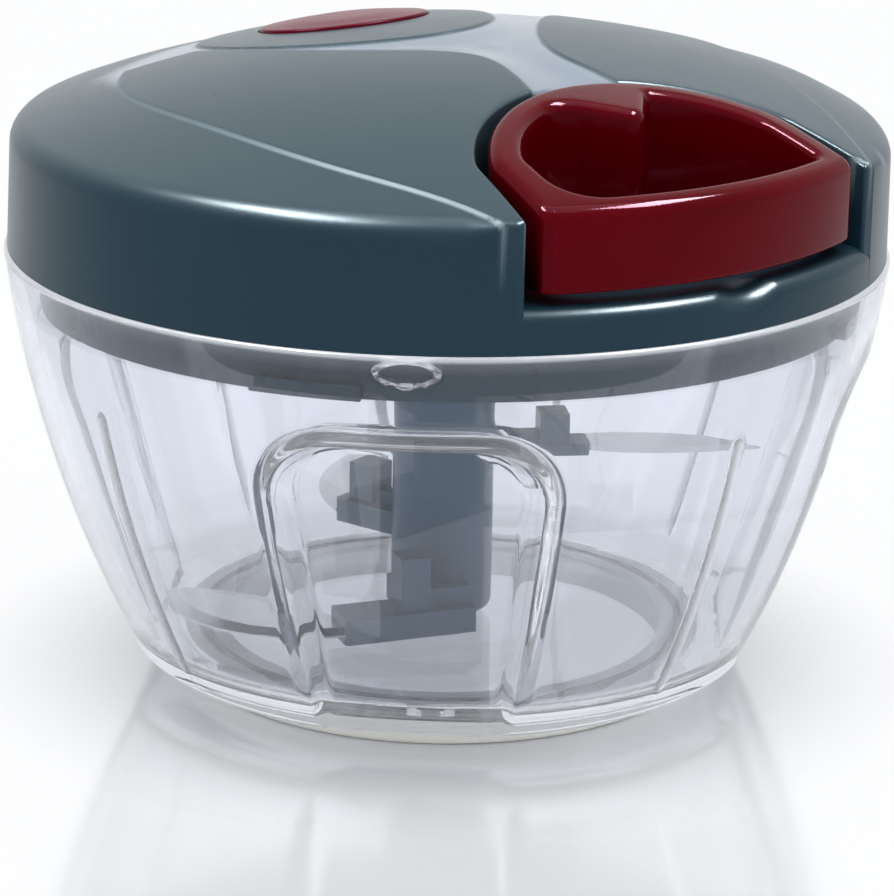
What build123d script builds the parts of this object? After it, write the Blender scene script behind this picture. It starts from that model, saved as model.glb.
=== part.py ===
"""Pull-cord food chopper of the 400 ml class, lid on the bowl and handle in its notch.

Millimetres, +Z up. The origin is the centre of the foot ring's underside. A bearing is an angle in degrees
from -Y, the front, towards +X. Along the handle's axis, u runs outwards and v runs to its left.
"""
import os
from math import atan2, cos, degrees, hypot, radians, sin, sqrt, tan

from build123d import *

os.makedirs("parts", exist_ok=True)

# Driving dimensions
rim_r = 61.0              # outer radius of the bowl's rim
rim_z = 60.8              # height of the rim above the table
bowl_wall = 2.2
floor_z = 6.8             # top of the bowl's floor
lid_inset = 0.5           # how far the lid's wall lies inside the bowl's rim
lid_height = 27.3         # from the bowl's rim to the middle of the dome
lid_crown = 12.1          # rise of the dome over the lid's wall
lid_wall = 2.0
handle_bearing = 38.7     # where the handle's notch faces
drum_cord_r = 9.0         # radius of the cord's centre line on the drum
cord_d = 1.6

# Shared allowances
overrun = 20.0            # how far a cutter passes the part it cuts
run_clearance = 0.06      # radial, for a shaft or pin that turns in its bore
slip_clearance = 0.3      # between pieces that slide past each other or lie close

# Bowl
wall_bulge = 2.58         # how far the wall swells off the straight line from its foot to the rim
foot_corner_r = 44.2
foot_corner_z = 5.6
foot_corner_reach = 3.7
underside_z = 3.0
floor_corner_r = 3.0
rim_edge_round = 0.6
rib_count = 4
rib_width = 1.8
rib_height = 0.9
rib_over_foot = 2.4
rib_below_rim = 14.8
arch_count = 4
arch_bearing = -4.7       # the arch that faces the front
arch_below_rim = 12.3
arch_top_width = 36.0
arch_foot_width = 25.0
arch_foot_depth = 2.8     # how far the arch's flat lies inside the wall, at the foot corner
arch_top_depth = 5.5      # the same at the arch's top
arch_corner_r = 9.5
arch_edge_round = 1.6
lug_count = 4
lug_width = 8.4
lug_height = 4.0
lug_below_rim = 2.8
lug_proud = 1.8           # how far a bayonet lug stands in from the wall
pin_boss_r = 5.0
pin_boss_height = 0.9

foot_flat_r = foot_corner_r - foot_corner_reach
rib_low_z = foot_corner_z + rib_over_foot
rib_high_z = rim_z - rib_below_rim
arch_top_z = rim_z - arch_below_rim
lug_z = rim_z - lug_below_rim
pan_z = floor_z - bowl_wall
pin_boss_top_z = floor_z + pin_boss_height

# Foot ring and pin
ring_margin = 3.5         # from the edge of the bowl's flat foot to the ring's seat
ring_width = 5.8
ring_rib_wall = 1.6
ring_rib_low_z = 1.4
pin_r = 2.0
pin_reach = 17.2          # above the bowl's floor
pin_end_wall = 0.5        # of plastic under the pin

ring_seat_r = foot_flat_r - ring_margin
ring_inner_r = ring_seat_r - ring_width
ring_rib_r = ring_seat_r - ring_width / 2
pin_low_z = underside_z + pin_end_wall
pin_top_z = floor_z + pin_reach

# Blade unit
stem_r = 7.1
stem_play = 0.15          # between the stem and the boss that it stands on
stem_below_rim = 5.8
stem_foot_round = 1.2
socket_depth = 11.0
socket_gap = 0.1          # round the drive's hexagon
tab_length = 4.2          # of the upright tab on each arm
tab_width = 4.4
blade_thick = 0.9
blade_root_inset = 0.5    # of a blade's root from the sides of its arm
blade_root_start = 8.6    # of a blade's root from the axis, along its arm
blade_bevel = 1.8
blade_bevel_drop = 0.6
blade_tip = 1.2
blade_tip_gap = 1.0       # from a blade's tip to the arches' inner flats
lower_arm_lift = 1.4      # of an arm's underside over the bowl's floor
middle_arm_lift = 10.6
upper_arm_lift = 22.9
lower_arm_depth = 3.6
middle_arm_depth = 3.4
upper_arm_depth = 1.7
lower_arm_reach = 19.0    # of an arm's end from the axis, along the arm
middle_arm_reach = 16.8
upper_arm_reach = 20.6
lower_arm_width = 7.0
middle_arm_width = 7.0
upper_arm_width = 4.8
# Each arm: its bearing, lift, depth, reach, width, how far it lies to its left, where its tab starts and the tab's
# height. Each blade: degrees that the tip trails behind, the leading edge's distance to the left of the arm's
# centre line at the arm's end and the heel's to its right, and how far each edge bows outwards.
blade_table = {
    "blade_lower": dict(
        bearing=-69.6, lift=lower_arm_lift, depth=lower_arm_depth, reach=lower_arm_reach, width=lower_arm_width,
        side=stem_r + lower_arm_width / 2, tab=6.3, tab_height=7.5, trail=14.5, lead=3.3, heel=3.3, bow=7.6,
        back_bow=2.4),
    "blade_middle": dict(
        bearing=-128.0, lift=middle_arm_lift, depth=middle_arm_depth, reach=middle_arm_reach, width=middle_arm_width,
        side=0.0, tab=11.0, tab_height=5.4, trail=41.0, lead=3.3, heel=3.3, bow=6.0, back_bow=-1.6),
    "blade_upper": dict(
        bearing=98.0, lift=upper_arm_lift, depth=upper_arm_depth, reach=upper_arm_reach, width=upper_arm_width,
        side=0.0, tab=13.4, tab_height=4.2, trail=4.0, lead=5.2, heel=1.2, bow=3.2, back_bow=1.9),
}

stem_low_z = pin_boss_top_z + stem_play
stem_top_z = rim_z - stem_below_rim

# Spring case, whose size sets where the handle's notch can begin
case_r = 20.0
case_wall = 1.4
case_floor = 1.2
case_height = 6.8
case_ear_r = 3.6
case_ear_offset = 3.2
case_ear_angles = (90.0, 180.0, 270.0)
spring_cover_thick = 1.2

# Lid
lid_edge_round = 1.2
panel_step = 0.5          # how far the lid's raised panels stand over its dome
ledge_over_rim = 5.7
ledge_edge_round = 2.2
notch_floor = 2.6
notch_wall = 1.8
notch_case_gap = 2.8
notch_corner_u_share = 0.379    # of the notch's depth
notch_corner_v_share = 0.433    # of the lid's radius
notch_flare = 14.7        # degrees that each side of the notch opens outwards
notch_corner_round = 8.0
notch_mouth_round = 2.6
dip_width = 20.0          # finger dip in the ledge's edge
dip_depth = 1.1
dip_reach = 6.5
badge_length = 27.0
badge_width = 16.0
badge_offset = 30.0       # from the lid's axis, away from the handle
badge_thick = 1.2
badge_proud = 0.3
top_boss_r = 6.5
top_boss_depth = 6.5
screw_boss_r = 3.8
screw_boss_inset = 11.5
screw_boss_angles = (75.0, 145.0, 215.0, 285.0)
# Outlines of the raised panels, as shares of the lid's radius along u and v: an outer edge, then an inner edge
front_panel_shares = (
    ((-0.55, -0.50), (-0.39, -0.63), (0.04, -0.72), (0.50, -0.66), (0.86, -0.50)),
    ((0.44, -0.11), (0.29, -0.055), (0.15, -0.035), (-0.03, -0.18), (-0.19, -0.28), (-0.45, -0.325)),
)
back_panel_shares = (
    ((0.88, 0.47), (0.63, 0.585), (0.28, 0.70), (-0.15, 0.74), (-0.36, 0.66)),
    ((-0.22, 0.46), (0.05, 0.22), (0.22, 0.14), (0.33, 0.13), (0.46, 0.12)),
)
island_shares = (
    (-0.62, -0.27), (-0.37, -0.285), (-0.19, -0.215), (-0.08, -0.02), (-0.14, 0.19), (-0.33, 0.34), (-0.58, 0.36),
)

lid_wall_r = rim_r - lid_inset
lid_top_z = rim_z + lid_height
lid_wall_top_z = lid_top_z - lid_crown
notch_ledge_z = rim_z + ledge_over_rim
notch_inner_u = case_r + notch_case_gap + notch_wall
notch_corner_u = notch_inner_u + notch_corner_u_share * (lid_wall_r - notch_inner_u)
notch_corner_v = notch_corner_v_share * lid_wall_r
top_boss_low_z = lid_top_z - top_boss_depth
screw_boss_ring_r = lid_wall_r - lid_wall - screw_boss_inset
case_ear_ring_r = case_r + case_ear_offset

# Lid base
base_over_rim = 3.0
base_plate = 1.8
skirt_depth = 6.8         # below the bowl's rim
skirt_gap = 0.4           # to the bowl's lugs
skirt_wall = 1.8
lip_bite = 0.8            # how far a bayonet lip reaches under a lug
lip_height = 2.0
lip_start = -25.0         # bearings of a bayonet lip's two ends
lip_end = -10.4
hub_wall = 3.4
hub_height = 5.4

base_top_z = rim_z + base_over_rim
plate_low_z = base_top_z - base_plate
skirt_low_z = rim_z - skirt_depth
hub_low_z = base_top_z - hub_height
case_top_z = base_top_z + case_height

# Drive in the lid
journal_r = 3.5
bush_wall = 1.6
bush_flange_r = 6.6
bush_flange = 0.8
hex_flat = 7.0
hex_end_gap = 1.6
collar_r = 5.6
collar_gap = 1.6
arbor_r = 4.4
spring_turns = 5
spring_strip = 0.5
spring_end_gap = 1.9      # to the case's wall
spring_top_gap = 0.7
drum_gap = 0.5
drum_flange_r = 14.0
drum_flange = 1.2
drum_square = 5.6
top_journal_r = 2.2
top_journal_length = 3.2
top_bush_wall = 1.5

socket_bottom_z = stem_top_z - socket_depth
hex_low_z = socket_bottom_z + hex_end_gap
collar_low_z = stem_top_z + collar_gap
bush_bore_r = journal_r + run_clearance
bush_r = bush_bore_r + bush_wall
top_bush_bore_r = top_journal_r + run_clearance
top_bush_r = top_bush_bore_r + top_bush_wall
spring_low_z = base_top_z + case_floor + drum_gap
drum_low_z = case_top_z + spring_cover_thick + drum_gap
drum_top_z = top_boss_low_z - drum_gap
cord_z = (drum_low_z + drum_top_z) / 2
drum_core_r = drum_cord_r - cord_d / 2
winding_r = drum_cord_r + cord_d / 2

# Handle
handle_gap = 1.3          # between the handle and the notch at its inner end
handle_side_gap = 2.9
handle_lift = 2.0         # over the notch's ledge
handle_setback = 1.3      # of its front behind the lid's wall
handle_wall = 3.9
handle_flare = 7.3        # degrees that each side of the handle opens outwards
handle_corner_round = 7.5
handle_front_round = 3.2
handle_round_share = 0.43       # of the wall, at its top edges
handle_proud = 0.4        # how far its top stands over the lid's panels
hump_reach = 12.4         # of the inner wall's hump from the handle's inner end
hump_v = 2.4
hump_half_width = 11.4
hump_round = 2.4
spigot_r = 3.2
ferrule_r = 2.0
ferrule_length = 2.6

handle_low_z = notch_ledge_z + handle_lift
handle_outer_r = lid_wall_r - handle_setback
handle_inner_u = notch_inner_u + handle_gap

# Eyelet of the cord
eyelet_bore_r = 1.3
eyelet_r = 2.4
eyelet_flange_r = 3.4
eyelet_flange = 0.6
eyelet_length = 4.0       # behind its flange
eyelet_boss_r = 5.0

# Screws
screw_r = 1.4
screw_hole_r = 1.7
screw_head_r = 2.7
screw_head = 1.8
screw_length = 10.0
case_screw_length = 5.0
cross_slot = 0.7

dome_rise = lid_crown - lid_edge_round
dome_r = (lid_wall_r ** 2 + dome_rise ** 2) / (2 * dome_rise)
dome_centre_z = lid_top_z - dome_r


def turned(bearing, shape):
    """Turn a shape that is built along +X to a bearing."""
    return Rot(0, 0, bearing - 90) * shape


def ring_of(count, first_bearing, shape):
    """Copies of a shape built along +X, evenly spaced round the axis."""
    return [turned(first_bearing + 360 / count * k, shape) for k in range(count)]


def disc(r, low, high):
    """Upright cylinder between two heights."""
    return Pos(0, 0, low) * extrude(Circle(r), high - low)


def tube(outer, inner, low, high):
    """Upright tube between two heights."""
    return disc(outer, low, high) - disc(inner, low - overrun, high + overrun)


def spun(section):
    """Revolve a half section that is drawn in the XZ plane."""
    return revolve(section, Axis.Z)


def prism(outline, low, high):
    """Upright prism of a plan outline between two heights."""
    return Pos(0, 0, low) * extrude(outline, high - low)


def dome_z(r):
    """Height of the lid's top at a radius."""
    return dome_centre_z + sqrt(dome_r ** 2 - r ** 2)


def save(name, shape):
    """Write one node's solids and print their count and volume."""
    solids = shape.solids()
    export_step(Compound(children=list(solids)) if len(solids) > 1 else solids[0], f"parts/{name}.step")
    print(f"{name:16s} solids {len(solids):2d}  volume {sum(s.volume for s in solids):10.1f}")


# Bowl
def wall_arc():
    """Centre and radius of the wall's arc, in section, from its two ends and its bulge."""
    run = rim_r - foot_corner_r
    rise = rim_z - foot_corner_z
    chord = hypot(run, rise)
    r = (chord ** 2 / 4 + wall_bulge ** 2) / (2 * wall_bulge)
    back = (r - wall_bulge) / chord
    return (foot_corner_r + rim_r) / 2 - back * rise, (foot_corner_z + rim_z) / 2 + back * run, r


wall_ox, wall_oz, wall_arc_r = wall_arc()


def bowl_r(z, inset=0.0):
    """Radius of the bowl's outer wall at a height, moved inwards by an inset square to the wall."""
    return wall_ox + sqrt((wall_arc_r - inset) ** 2 - (z - wall_oz) ** 2)


arch_foot_reach = foot_corner_r - arch_foot_depth
arch_top_reach = bowl_r(arch_top_z) - arch_top_depth
arch_lean = (arch_top_reach - arch_foot_reach) / (arch_top_z - foot_corner_z)
mouth_r = bowl_r(rim_z, bowl_wall)
lug_reach_r = bowl_r(lug_z, bowl_wall) - lug_proud
skirt_outer_r = lug_reach_r - skirt_gap
skirt_inner_r = skirt_outer_r - skirt_wall


def wall_section(inset, low_z, low_flat_r, base_z, high_z):
    """Half section under the wall's arc: flat base, rounded corner, wall up to a height, closed on the axis."""
    middle_z = (low_z + high_z) / 2
    base = Line((0, base_z), (low_flat_r, base_z))
    corner = TangentArc((low_flat_r, base_z), (bowl_r(low_z, inset), low_z), tangent=(1, 0))
    wall = ThreePointArc((bowl_r(low_z, inset), low_z), (bowl_r(middle_z, inset), middle_z),
                         (bowl_r(high_z, inset), high_z))
    top = Polyline((bowl_r(high_z, inset), high_z), (0, high_z), (0, base_z))
    return Plane.XZ * make_face([base, corner, wall, top])


def arch_block(grow, edge_round):
    """Arch-shaped block outside a leaning flat, along +X; grow moves the flat in and widens the arch."""
    flat = Plane(origin=(arch_foot_reach, 0, foot_corner_z), x_dir=(0, 1, 0), z_dir=(1, 0, -arch_lean))
    flat = flat.offset(-grow)
    top_v = (arch_top_z - foot_corner_z) * hypot(1, arch_lean) + grow
    half_top = arch_top_width / 2 + grow
    half_foot = arch_foot_width / 2 + grow
    slope = (half_top - half_foot) / top_v
    outline = Polygon((-half_foot + slope * overrun, -overrun), (half_foot - slope * overrun, -overrun),
                      (half_top, top_v), (-half_top, top_v), align=None)
    corners = outline.vertices().sort_by(Axis.Y)[-2:]
    block = extrude(flat * fillet(corners, arch_corner_r + grow), 2 * overrun)
    inner_edges = block.faces().sort_by(Axis(flat.origin, flat.z_dir))[0].edges()
    return fillet(inner_edges, edge_round)


def make_bowl():
    """Clear bowl: curved wall, four arched recesses, four upright ribs, bayonet lugs, foot rib, pin boss."""
    outer = spun(wall_section(0, foot_corner_z, foot_flat_r, underside_z, rim_z))
    outer = fillet(outer.faces().sort_by(Axis.Z)[-1].edges(), rim_edge_round)
    cavity = spun(wall_section(bowl_wall, floor_z + floor_corner_r, foot_flat_r - floor_corner_r, floor_z, rim_z))
    cavity += disc(mouth_r, rim_z - rim_edge_round, rim_z + overrun)
    for block in ring_of(arch_count, arch_bearing, arch_block(0, arch_edge_round)):
        outer -= block
    for block in ring_of(arch_count, arch_bearing, arch_block(bowl_wall, arch_edge_round + bowl_wall)):
        cavity -= block
    bowl = outer - cavity
    swollen = spun(wall_section(-rib_height, foot_corner_z, foot_flat_r, underside_z, rib_high_z))
    core = spun(wall_section(bowl_wall / 2, foot_corner_z, foot_flat_r, underside_z, rib_high_z + rib_width))
    strip_plane = Plane(origin=(0, 0, (rib_low_z + rib_high_z) / 2), x_dir=(0, 0, 1), z_dir=(1, 0, 0))
    strip = extrude(strip_plane * SlotOverall(rib_high_z - rib_low_z, rib_width), rim_r + overrun)
    rib = (strip & swollen) - core
    for piece in ring_of(rib_count, arch_bearing + 180 / rib_count, rib):
        bowl += piece
    lug_plane = Plane(origin=(lug_reach_r, 0, lug_z), x_dir=(0, 1, 0), z_dir=(1, 0, 0))
    lug = extrude(lug_plane * SlotOverall(lug_width, lug_height), lug_proud + bowl_wall / 2)
    for piece in ring_of(lug_count, arch_bearing, lug):
        bowl += piece
    bowl -= disc(ring_seat_r, underside_z - overrun, pan_z)
    bowl += tube(ring_rib_r + ring_rib_wall / 2, ring_rib_r - ring_rib_wall / 2, ring_rib_low_z, pan_z)
    bowl += disc(pin_boss_r, floor_z, pin_boss_top_z)
    bowl += disc(pin_boss_r, underside_z, pan_z)
    bowl -= disc(pin_r, pin_low_z, pin_boss_top_z + overrun)
    return bowl


def make_foot_ring():
    """Soft ring pushed on the rib under the bowl, with a rounded tread."""
    ring = tube(ring_seat_r - slip_clearance, ring_inner_r, 0, pan_z)
    ring = fillet(ring.faces().sort_by(Axis.Z)[0].edges(), ring_rib_wall / 2)
    return ring - tube(ring_rib_r + ring_rib_wall / 2, ring_rib_r - ring_rib_wall / 2, ring_rib_low_z, rim_z)


def make_pin():
    """Steel pin that the blade unit turns on, with a rounded tip."""
    pin = disc(pin_r, pin_low_z, pin_top_z)
    return fillet(pin.faces().sort_by(Axis.Z)[-1].edges(), pin_r / 2)


# Blade unit
def blade_reach(z):
    """How far a blade may reach at a height, inside the arches' inner flats."""
    return arch_foot_reach + arch_lean * (z - foot_corner_z) - bowl_wall - blade_tip_gap


def bowed(start, end, bow):
    """Arc between two points that bows to the left of the way from one to the other."""
    chord = end - start
    left = Vector(-chord.Y, chord.X) / chord.length
    return ThreePointArc(start, (start + end) / 2 + left * bow, end)


def blade_outline(arm, reach):
    """Plan of a blade whose arm lies along +X: root in the arm, leading edge, blunt tip that trails, back edge."""
    front = Vector(arm["reach"], arm["side"] + arm["lead"])
    heel = Vector(arm["reach"], arm["side"] - arm["heel"])
    tip = Vector(reach * cos(radians(arm["trail"])), -reach * sin(radians(arm["trail"])))
    blunt = tip * (1 - blade_tip / reach)
    low_v = arm["side"] - arm["width"] / 2 + blade_root_inset
    high_v = arm["side"] + arm["width"] / 2 - blade_root_inset
    start_u = min(blade_root_start, arm["tab"])
    root = Polyline(heel, (arm["reach"], low_v), (start_u, low_v), (start_u, high_v), (arm["reach"], high_v), front)
    leading = bowed(front, tip, arm["bow"])
    back = bowed(blunt, heel, arm["back_bow"])
    return make_face([root, leading, Line(tip, blunt), back]), leading


def make_blade(name):
    """One steel blade in its place, ground to an edge along its leading side."""
    arm = blade_table[name]
    middle_z = floor_z + arm["lift"] + arm["depth"] / 2
    low = middle_z - blade_thick / 2
    high = middle_z + blade_thick / 2
    outline, leading = blade_outline(arm, blade_reach(middle_z))
    blade = prism(outline, low, high)
    r = leading.radius
    bevel_z = high - blade_bevel_drop
    grind = disc(r + overrun, bevel_z, high) - Pos(0, 0, bevel_z) * Cone(
        r, r - blade_bevel, blade_bevel_drop, align=(Align.CENTER, Align.CENTER, Align.MIN))
    root = prism(Pos(arm["reach"] - r, 0) * Rectangle(2 * r, 2 * r + overrun), low, high)
    return turned(arm["bearing"], blade - (Pos(leading.arc_center) * grind - root))


def make_arm(name):
    """Moulded arm that grips one blade's root, linked to the stem, with its upright tab and web."""
    arm = blade_table[name]
    low = floor_z + arm["lift"]
    high = low + arm["depth"]
    slab = prism(Pos(arm["reach"] / 2, arm["side"]) * Rectangle(arm["reach"], arm["width"]), low, high)
    slab = fillet(slab.edges().filter_by(Axis.Z).sort_by(Axis.X)[-2:], stem_foot_round / 2)
    link = Pos(arm["width"] / 2, arm["side"] / 2) * Rectangle(arm["width"], arm["side"] + arm["width"])
    slab += prism(link, low, high)
    tab = Pos(arm["tab"] + tab_length / 2, arm["side"]) * Rectangle(tab_length, tab_width)
    slab += prism(tab, low + arm["depth"] / 2, high + arm["tab_height"])
    web = Pos(arm["tab"] / 2, arm["side"]) * Rectangle(arm["tab"], tab_width / 2)
    slab += prism(web, low + arm["depth"] / 2, high + arm["tab_height"] / 3)
    return turned(arm["bearing"], slab)


def make_stem(blades):
    """Moulded stem: three arms, running bore for the pin below, hexagonal drive socket above."""
    stem = disc(stem_r, stem_low_z, stem_top_z)
    stem = fillet(stem.faces().sort_by(Axis.Z)[0].edges(), stem_foot_round)
    for name in blade_table:
        stem += make_arm(name)
    for blade in blades:
        stem -= blade
    stem -= disc(pin_r + run_clearance, stem_low_z - overrun, pin_top_z + slip_clearance)
    socket = RegularPolygon(hex_flat / 2 + socket_gap, 6, major_radius=False)
    return stem - prism(socket, socket_bottom_z, stem_top_z + overrun)


# Lid cover
def dome_section(inset, low_z):
    """Half section of the lid: upright wall, rounded edge and domed top, moved inwards by an inset."""
    wall_r = lid_wall_r - inset
    edge_z = lid_wall_top_z - inset
    edge_r = wall_r - lid_edge_round
    top_z = lid_top_z - inset
    edge_top_z = dome_z(edge_r) - inset
    middle_r = edge_r / 2
    side = Polyline((0, top_z), (0, low_z), (wall_r, low_z), (wall_r, edge_z))
    edge = TangentArc((wall_r, edge_z), (edge_r, edge_top_z), tangent=(0, 1))
    dome = ThreePointArc((edge_r, edge_top_z), (middle_r, dome_z(middle_r) - inset), (0, top_z))
    return Plane.XZ * make_face([side, edge, dome])


def notch_arc(grow):
    """Inner end of the notch and its two corners in plan, moved outwards by grow."""
    corner_u = notch_corner_u - grow / 2
    corner_v = notch_corner_v + grow
    return ThreePointArc((corner_u, corner_v), (notch_inner_u - grow, 0), (corner_u, -corner_v))


def notch_plan(grow):
    """Plan of the notch along +X, with its corners rounded and its mouth past the lid's wall."""
    inner = notch_arc(grow)
    left = inner.position_at(0)
    mouth_u = lid_wall_r + overrun
    mouth_v = left.Y + (mouth_u - left.X) * tan(radians(notch_flare))
    sides = Polyline((left.X, -left.Y), (mouth_u, -mouth_v), (mouth_u, mouth_v), (left.X, left.Y))
    face = make_face([inner, sides])
    return fillet(face.vertices().sort_by(Axis.X)[:2], notch_corner_round)


def lid_plan():
    """Plan of the lid without its notch, whose mouth has rounded corners."""
    face = Circle(lid_wall_r) - notch_plan(0)
    return fillet(face.vertices().sort_by(Axis.X)[-2:], notch_mouth_round)


def panel_plan(edges):
    """Plan of a raised panel between an outer and an inner edge."""
    outer = Spline(*[(u * lid_wall_r, v * lid_wall_r) for u, v in edges[0]])
    inner = Spline(*[(u * lid_wall_r, v * lid_wall_r) for u, v in edges[1]])
    return make_face([outer, Line(outer @ 1, inner @ 0), inner, Line(inner @ 1, outer @ 0)])


def island_plan():
    """Plan of the raised island that carries the badge."""
    return make_face(Spline(*[(u * lid_wall_r, v * lid_wall_r) for u, v in island_shares], periodic=True))


def screw_places(ring_r, angles):
    """Places on a ring, at angles counted from the handle's axis."""
    return [turned(handle_bearing + a, Pos(ring_r, 0, 0)) for a in angles]


def along_cord(start_u, length, r):
    """Cylinder along the cord's line, from a distance along the handle's axis."""
    rod = extrude(Circle(r), length)
    return turned(handle_bearing, Pos(start_u, drum_cord_r, cord_z) * Rot(0, 90, 0) * rod)


def notch_wall_u(v):
    """Distance along the axis of the notch's inner wall at a distance to its left."""
    arc = notch_arc(0)
    return arc.arc_center.X - sqrt(arc.radius ** 2 - v ** 2)


eyelet_u = notch_wall_u(drum_cord_r - eyelet_flange_r)
seat_u = eyelet_u + eyelet_flange
ferrule_u = seat_u + handle_gap + handle_wall / 2


def dip_cutter():
    """Shallow scoop in the ledge's edge for a fingertip, along +X."""
    r = (dip_width ** 2 / 4 + dip_depth ** 2) / (2 * dip_depth)
    tilt = degrees(atan2(dip_depth, dip_reach))
    scoop = Pos(0, 0, r) * Rot(0, 90, 0) * Cylinder(r, 2 * overrun)
    return (Pos(lid_wall_r, 0, notch_ledge_z - dip_depth) * Rot(0, tilt, 0) * scoop) & prism(
        notch_plan(0), rim_z, handle_low_z)


def badge_plan(grow):
    """Oval of the badge in its place along -u."""
    return Pos(-badge_offset, 0) * Ellipse(badge_width / 2 + grow, badge_length / 2 + grow)


def make_cover():
    """Domed lid cover: raised panels, handle's notch with a rounded ledge, bosses and the badge's recess."""
    body = spun(dome_section(0, rim_z))
    core = spun(dome_section(lid_wall / 2, rim_z))
    raised = spun(dome_section(-panel_step, rim_z))
    for plan in (panel_plan(front_panel_shares), panel_plan(back_panel_shares), island_plan()):
        body += turned(handle_bearing, prism(plan, lid_wall_top_z, lid_top_z + overrun)) & raised
    body &= turned(handle_bearing, prism(lid_plan(), rim_z, lid_top_z + overrun))
    ledge = disc(lid_wall_r, rim_z, notch_ledge_z)
    body += fillet(ledge.faces().sort_by(Axis.Z)[-1].edges(), ledge_edge_round)
    tub = turned(handle_bearing, prism(notch_plan(notch_wall), notch_ledge_z - notch_floor, lid_top_z + overrun))
    cover = body - (spun(dome_section(lid_wall, rim_z - overrun)) - tub)
    cover += along_cord(eyelet_u - eyelet_length, eyelet_length, eyelet_boss_r)
    for place in screw_places(screw_boss_ring_r, screw_boss_angles):
        cover += place * disc(screw_boss_r, base_top_z, lid_top_z) & core
        cover -= place * disc(screw_r, base_top_z - overrun, base_top_z + screw_length)
    cover += disc(top_boss_r, top_boss_low_z, lid_top_z - lid_wall / 2)
    cover -= disc(top_bush_r, top_boss_low_z - overrun, top_boss_low_z + top_journal_length)
    cover -= along_cord(eyelet_u - overrun / 2, overrun, eyelet_r)
    cover -= along_cord(eyelet_u, overrun, eyelet_flange_r + slip_clearance)
    cover -= along_cord(eyelet_u - overrun, overrun - eyelet_length, eyelet_boss_r + slip_clearance)
    cover -= turned(handle_bearing, dip_cutter())
    recess_drop = badge_thick - panel_step
    backing = turned(handle_bearing, prism(badge_plan(lid_wall), rim_z, lid_top_z)) & core
    cover += backing - spun(dome_section(lid_wall + recess_drop, rim_z))
    recess = turned(handle_bearing, prism(badge_plan(0), rim_z, lid_top_z + overrun))
    return cover - (recess - spun(dome_section(recess_drop, rim_z)))


def make_badge():
    """Bare oval plate set in the island, slightly proud of it."""
    plate = turned(handle_bearing, prism(badge_plan(-slip_clearance / 2), rim_z, lid_top_z + overrun))
    plate &= spun(dome_section(-panel_step - badge_proud, rim_z))
    return plate - spun(dome_section(badge_thick - panel_step, rim_z - overrun))


# Lid base
def make_base():
    """Plate that closes the lid, with its skirt in the bowl's mouth, bayonet lips and bush hub."""
    base = disc(lid_wall_r - lid_wall - slip_clearance, plate_low_z, base_top_z)
    base += disc(mouth_r - slip_clearance, rim_z, plate_low_z)
    base += tube(skirt_outer_r, skirt_inner_r, skirt_low_z, plate_low_z)
    base -= disc(skirt_inner_r, skirt_low_z - overrun, plate_low_z)
    lip = tube(lug_reach_r + lip_bite, skirt_outer_r - skirt_wall / 2, skirt_low_z, skirt_low_z + lip_height)
    sweep = radians(lip_end - lip_start)
    far = 2 * rim_r
    wedge = prism(Polygon((0, 0), (far, 0), (far * cos(sweep), far * sin(sweep)), align=None),
                  skirt_low_z - overrun, rim_z)
    for piece in ring_of(lug_count, lip_start, lip & wedge):
        base += piece
    base += tube(bush_r + hub_wall, bush_r, hub_low_z, plate_low_z)
    base -= disc(bush_r, hub_low_z - overrun, base_top_z + overrun)
    for place in screw_places(screw_boss_ring_r, screw_boss_angles):
        base -= place * disc(screw_hole_r, skirt_low_z, base_top_z + overrun)
    for place in screw_places(case_ear_ring_r, case_ear_angles):
        base -= place * disc(screw_r, skirt_low_z, base_top_z + overrun)
    return base


def screw(place, head_z, length, upwards):
    """Round-headed screw with a cross recess, its head's bearing face at a height."""
    sign = 1 if upwards else -1
    shank = extrude(Circle(screw_r), sign * length)
    head = extrude(Circle(screw_head_r), -sign * screw_head)
    body = Pos(0, 0, head_z) * (shank + head)
    slot_z = head_z - sign * screw_head
    slot = Rectangle(2 * screw_r, cross_slot) + Rectangle(cross_slot, 2 * screw_r)
    return place * (body - Pos(0, 0, slot_z) * extrude(slot, sign * screw_head / 2))


def screw_set(ring_r, angles, head_z, length, upwards):
    """Like screws on a ring, as separate solids."""
    return Compound(children=[screw(p, head_z, length, upwards) for p in screw_places(ring_r, angles)])


# Drive
def make_shaft():
    """Steel drive shaft: hexagon into the blade stem, collar, journal, spring arbor, square, top journal."""
    shaft = prism(RegularPolygon(hex_flat / 2, 6, major_radius=False), hex_low_z, collar_low_z)
    shaft += disc(collar_r, collar_low_z, hub_low_z - bush_flange - drum_gap / 2)
    shaft += disc(journal_r, collar_low_z, spring_low_z)
    shaft += disc(arbor_r, spring_low_z, case_top_z)
    shaft += prism(Rectangle(drum_square, drum_square), case_top_z, drum_top_z)
    shaft += disc(top_journal_r, drum_top_z, top_boss_low_z + top_journal_length - slip_clearance)
    return shaft


def make_drum():
    """Cord drum: two flanges, a core under the cord and a square bore on the shaft."""
    drum = disc(drum_core_r, drum_low_z, drum_top_z)
    drum += disc(drum_flange_r, drum_low_z, drum_low_z + drum_flange)
    drum += disc(drum_flange_r, drum_top_z - drum_flange, drum_top_z)
    return drum - prism(Rectangle(drum_square, drum_square), drum_low_z - overrun, drum_top_z + overrun)


def make_winding():
    """The wound cord as one closed sleeve between the flanges."""
    return tube(winding_r, drum_core_r, drum_low_z + drum_flange, drum_top_z - drum_flange)


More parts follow.
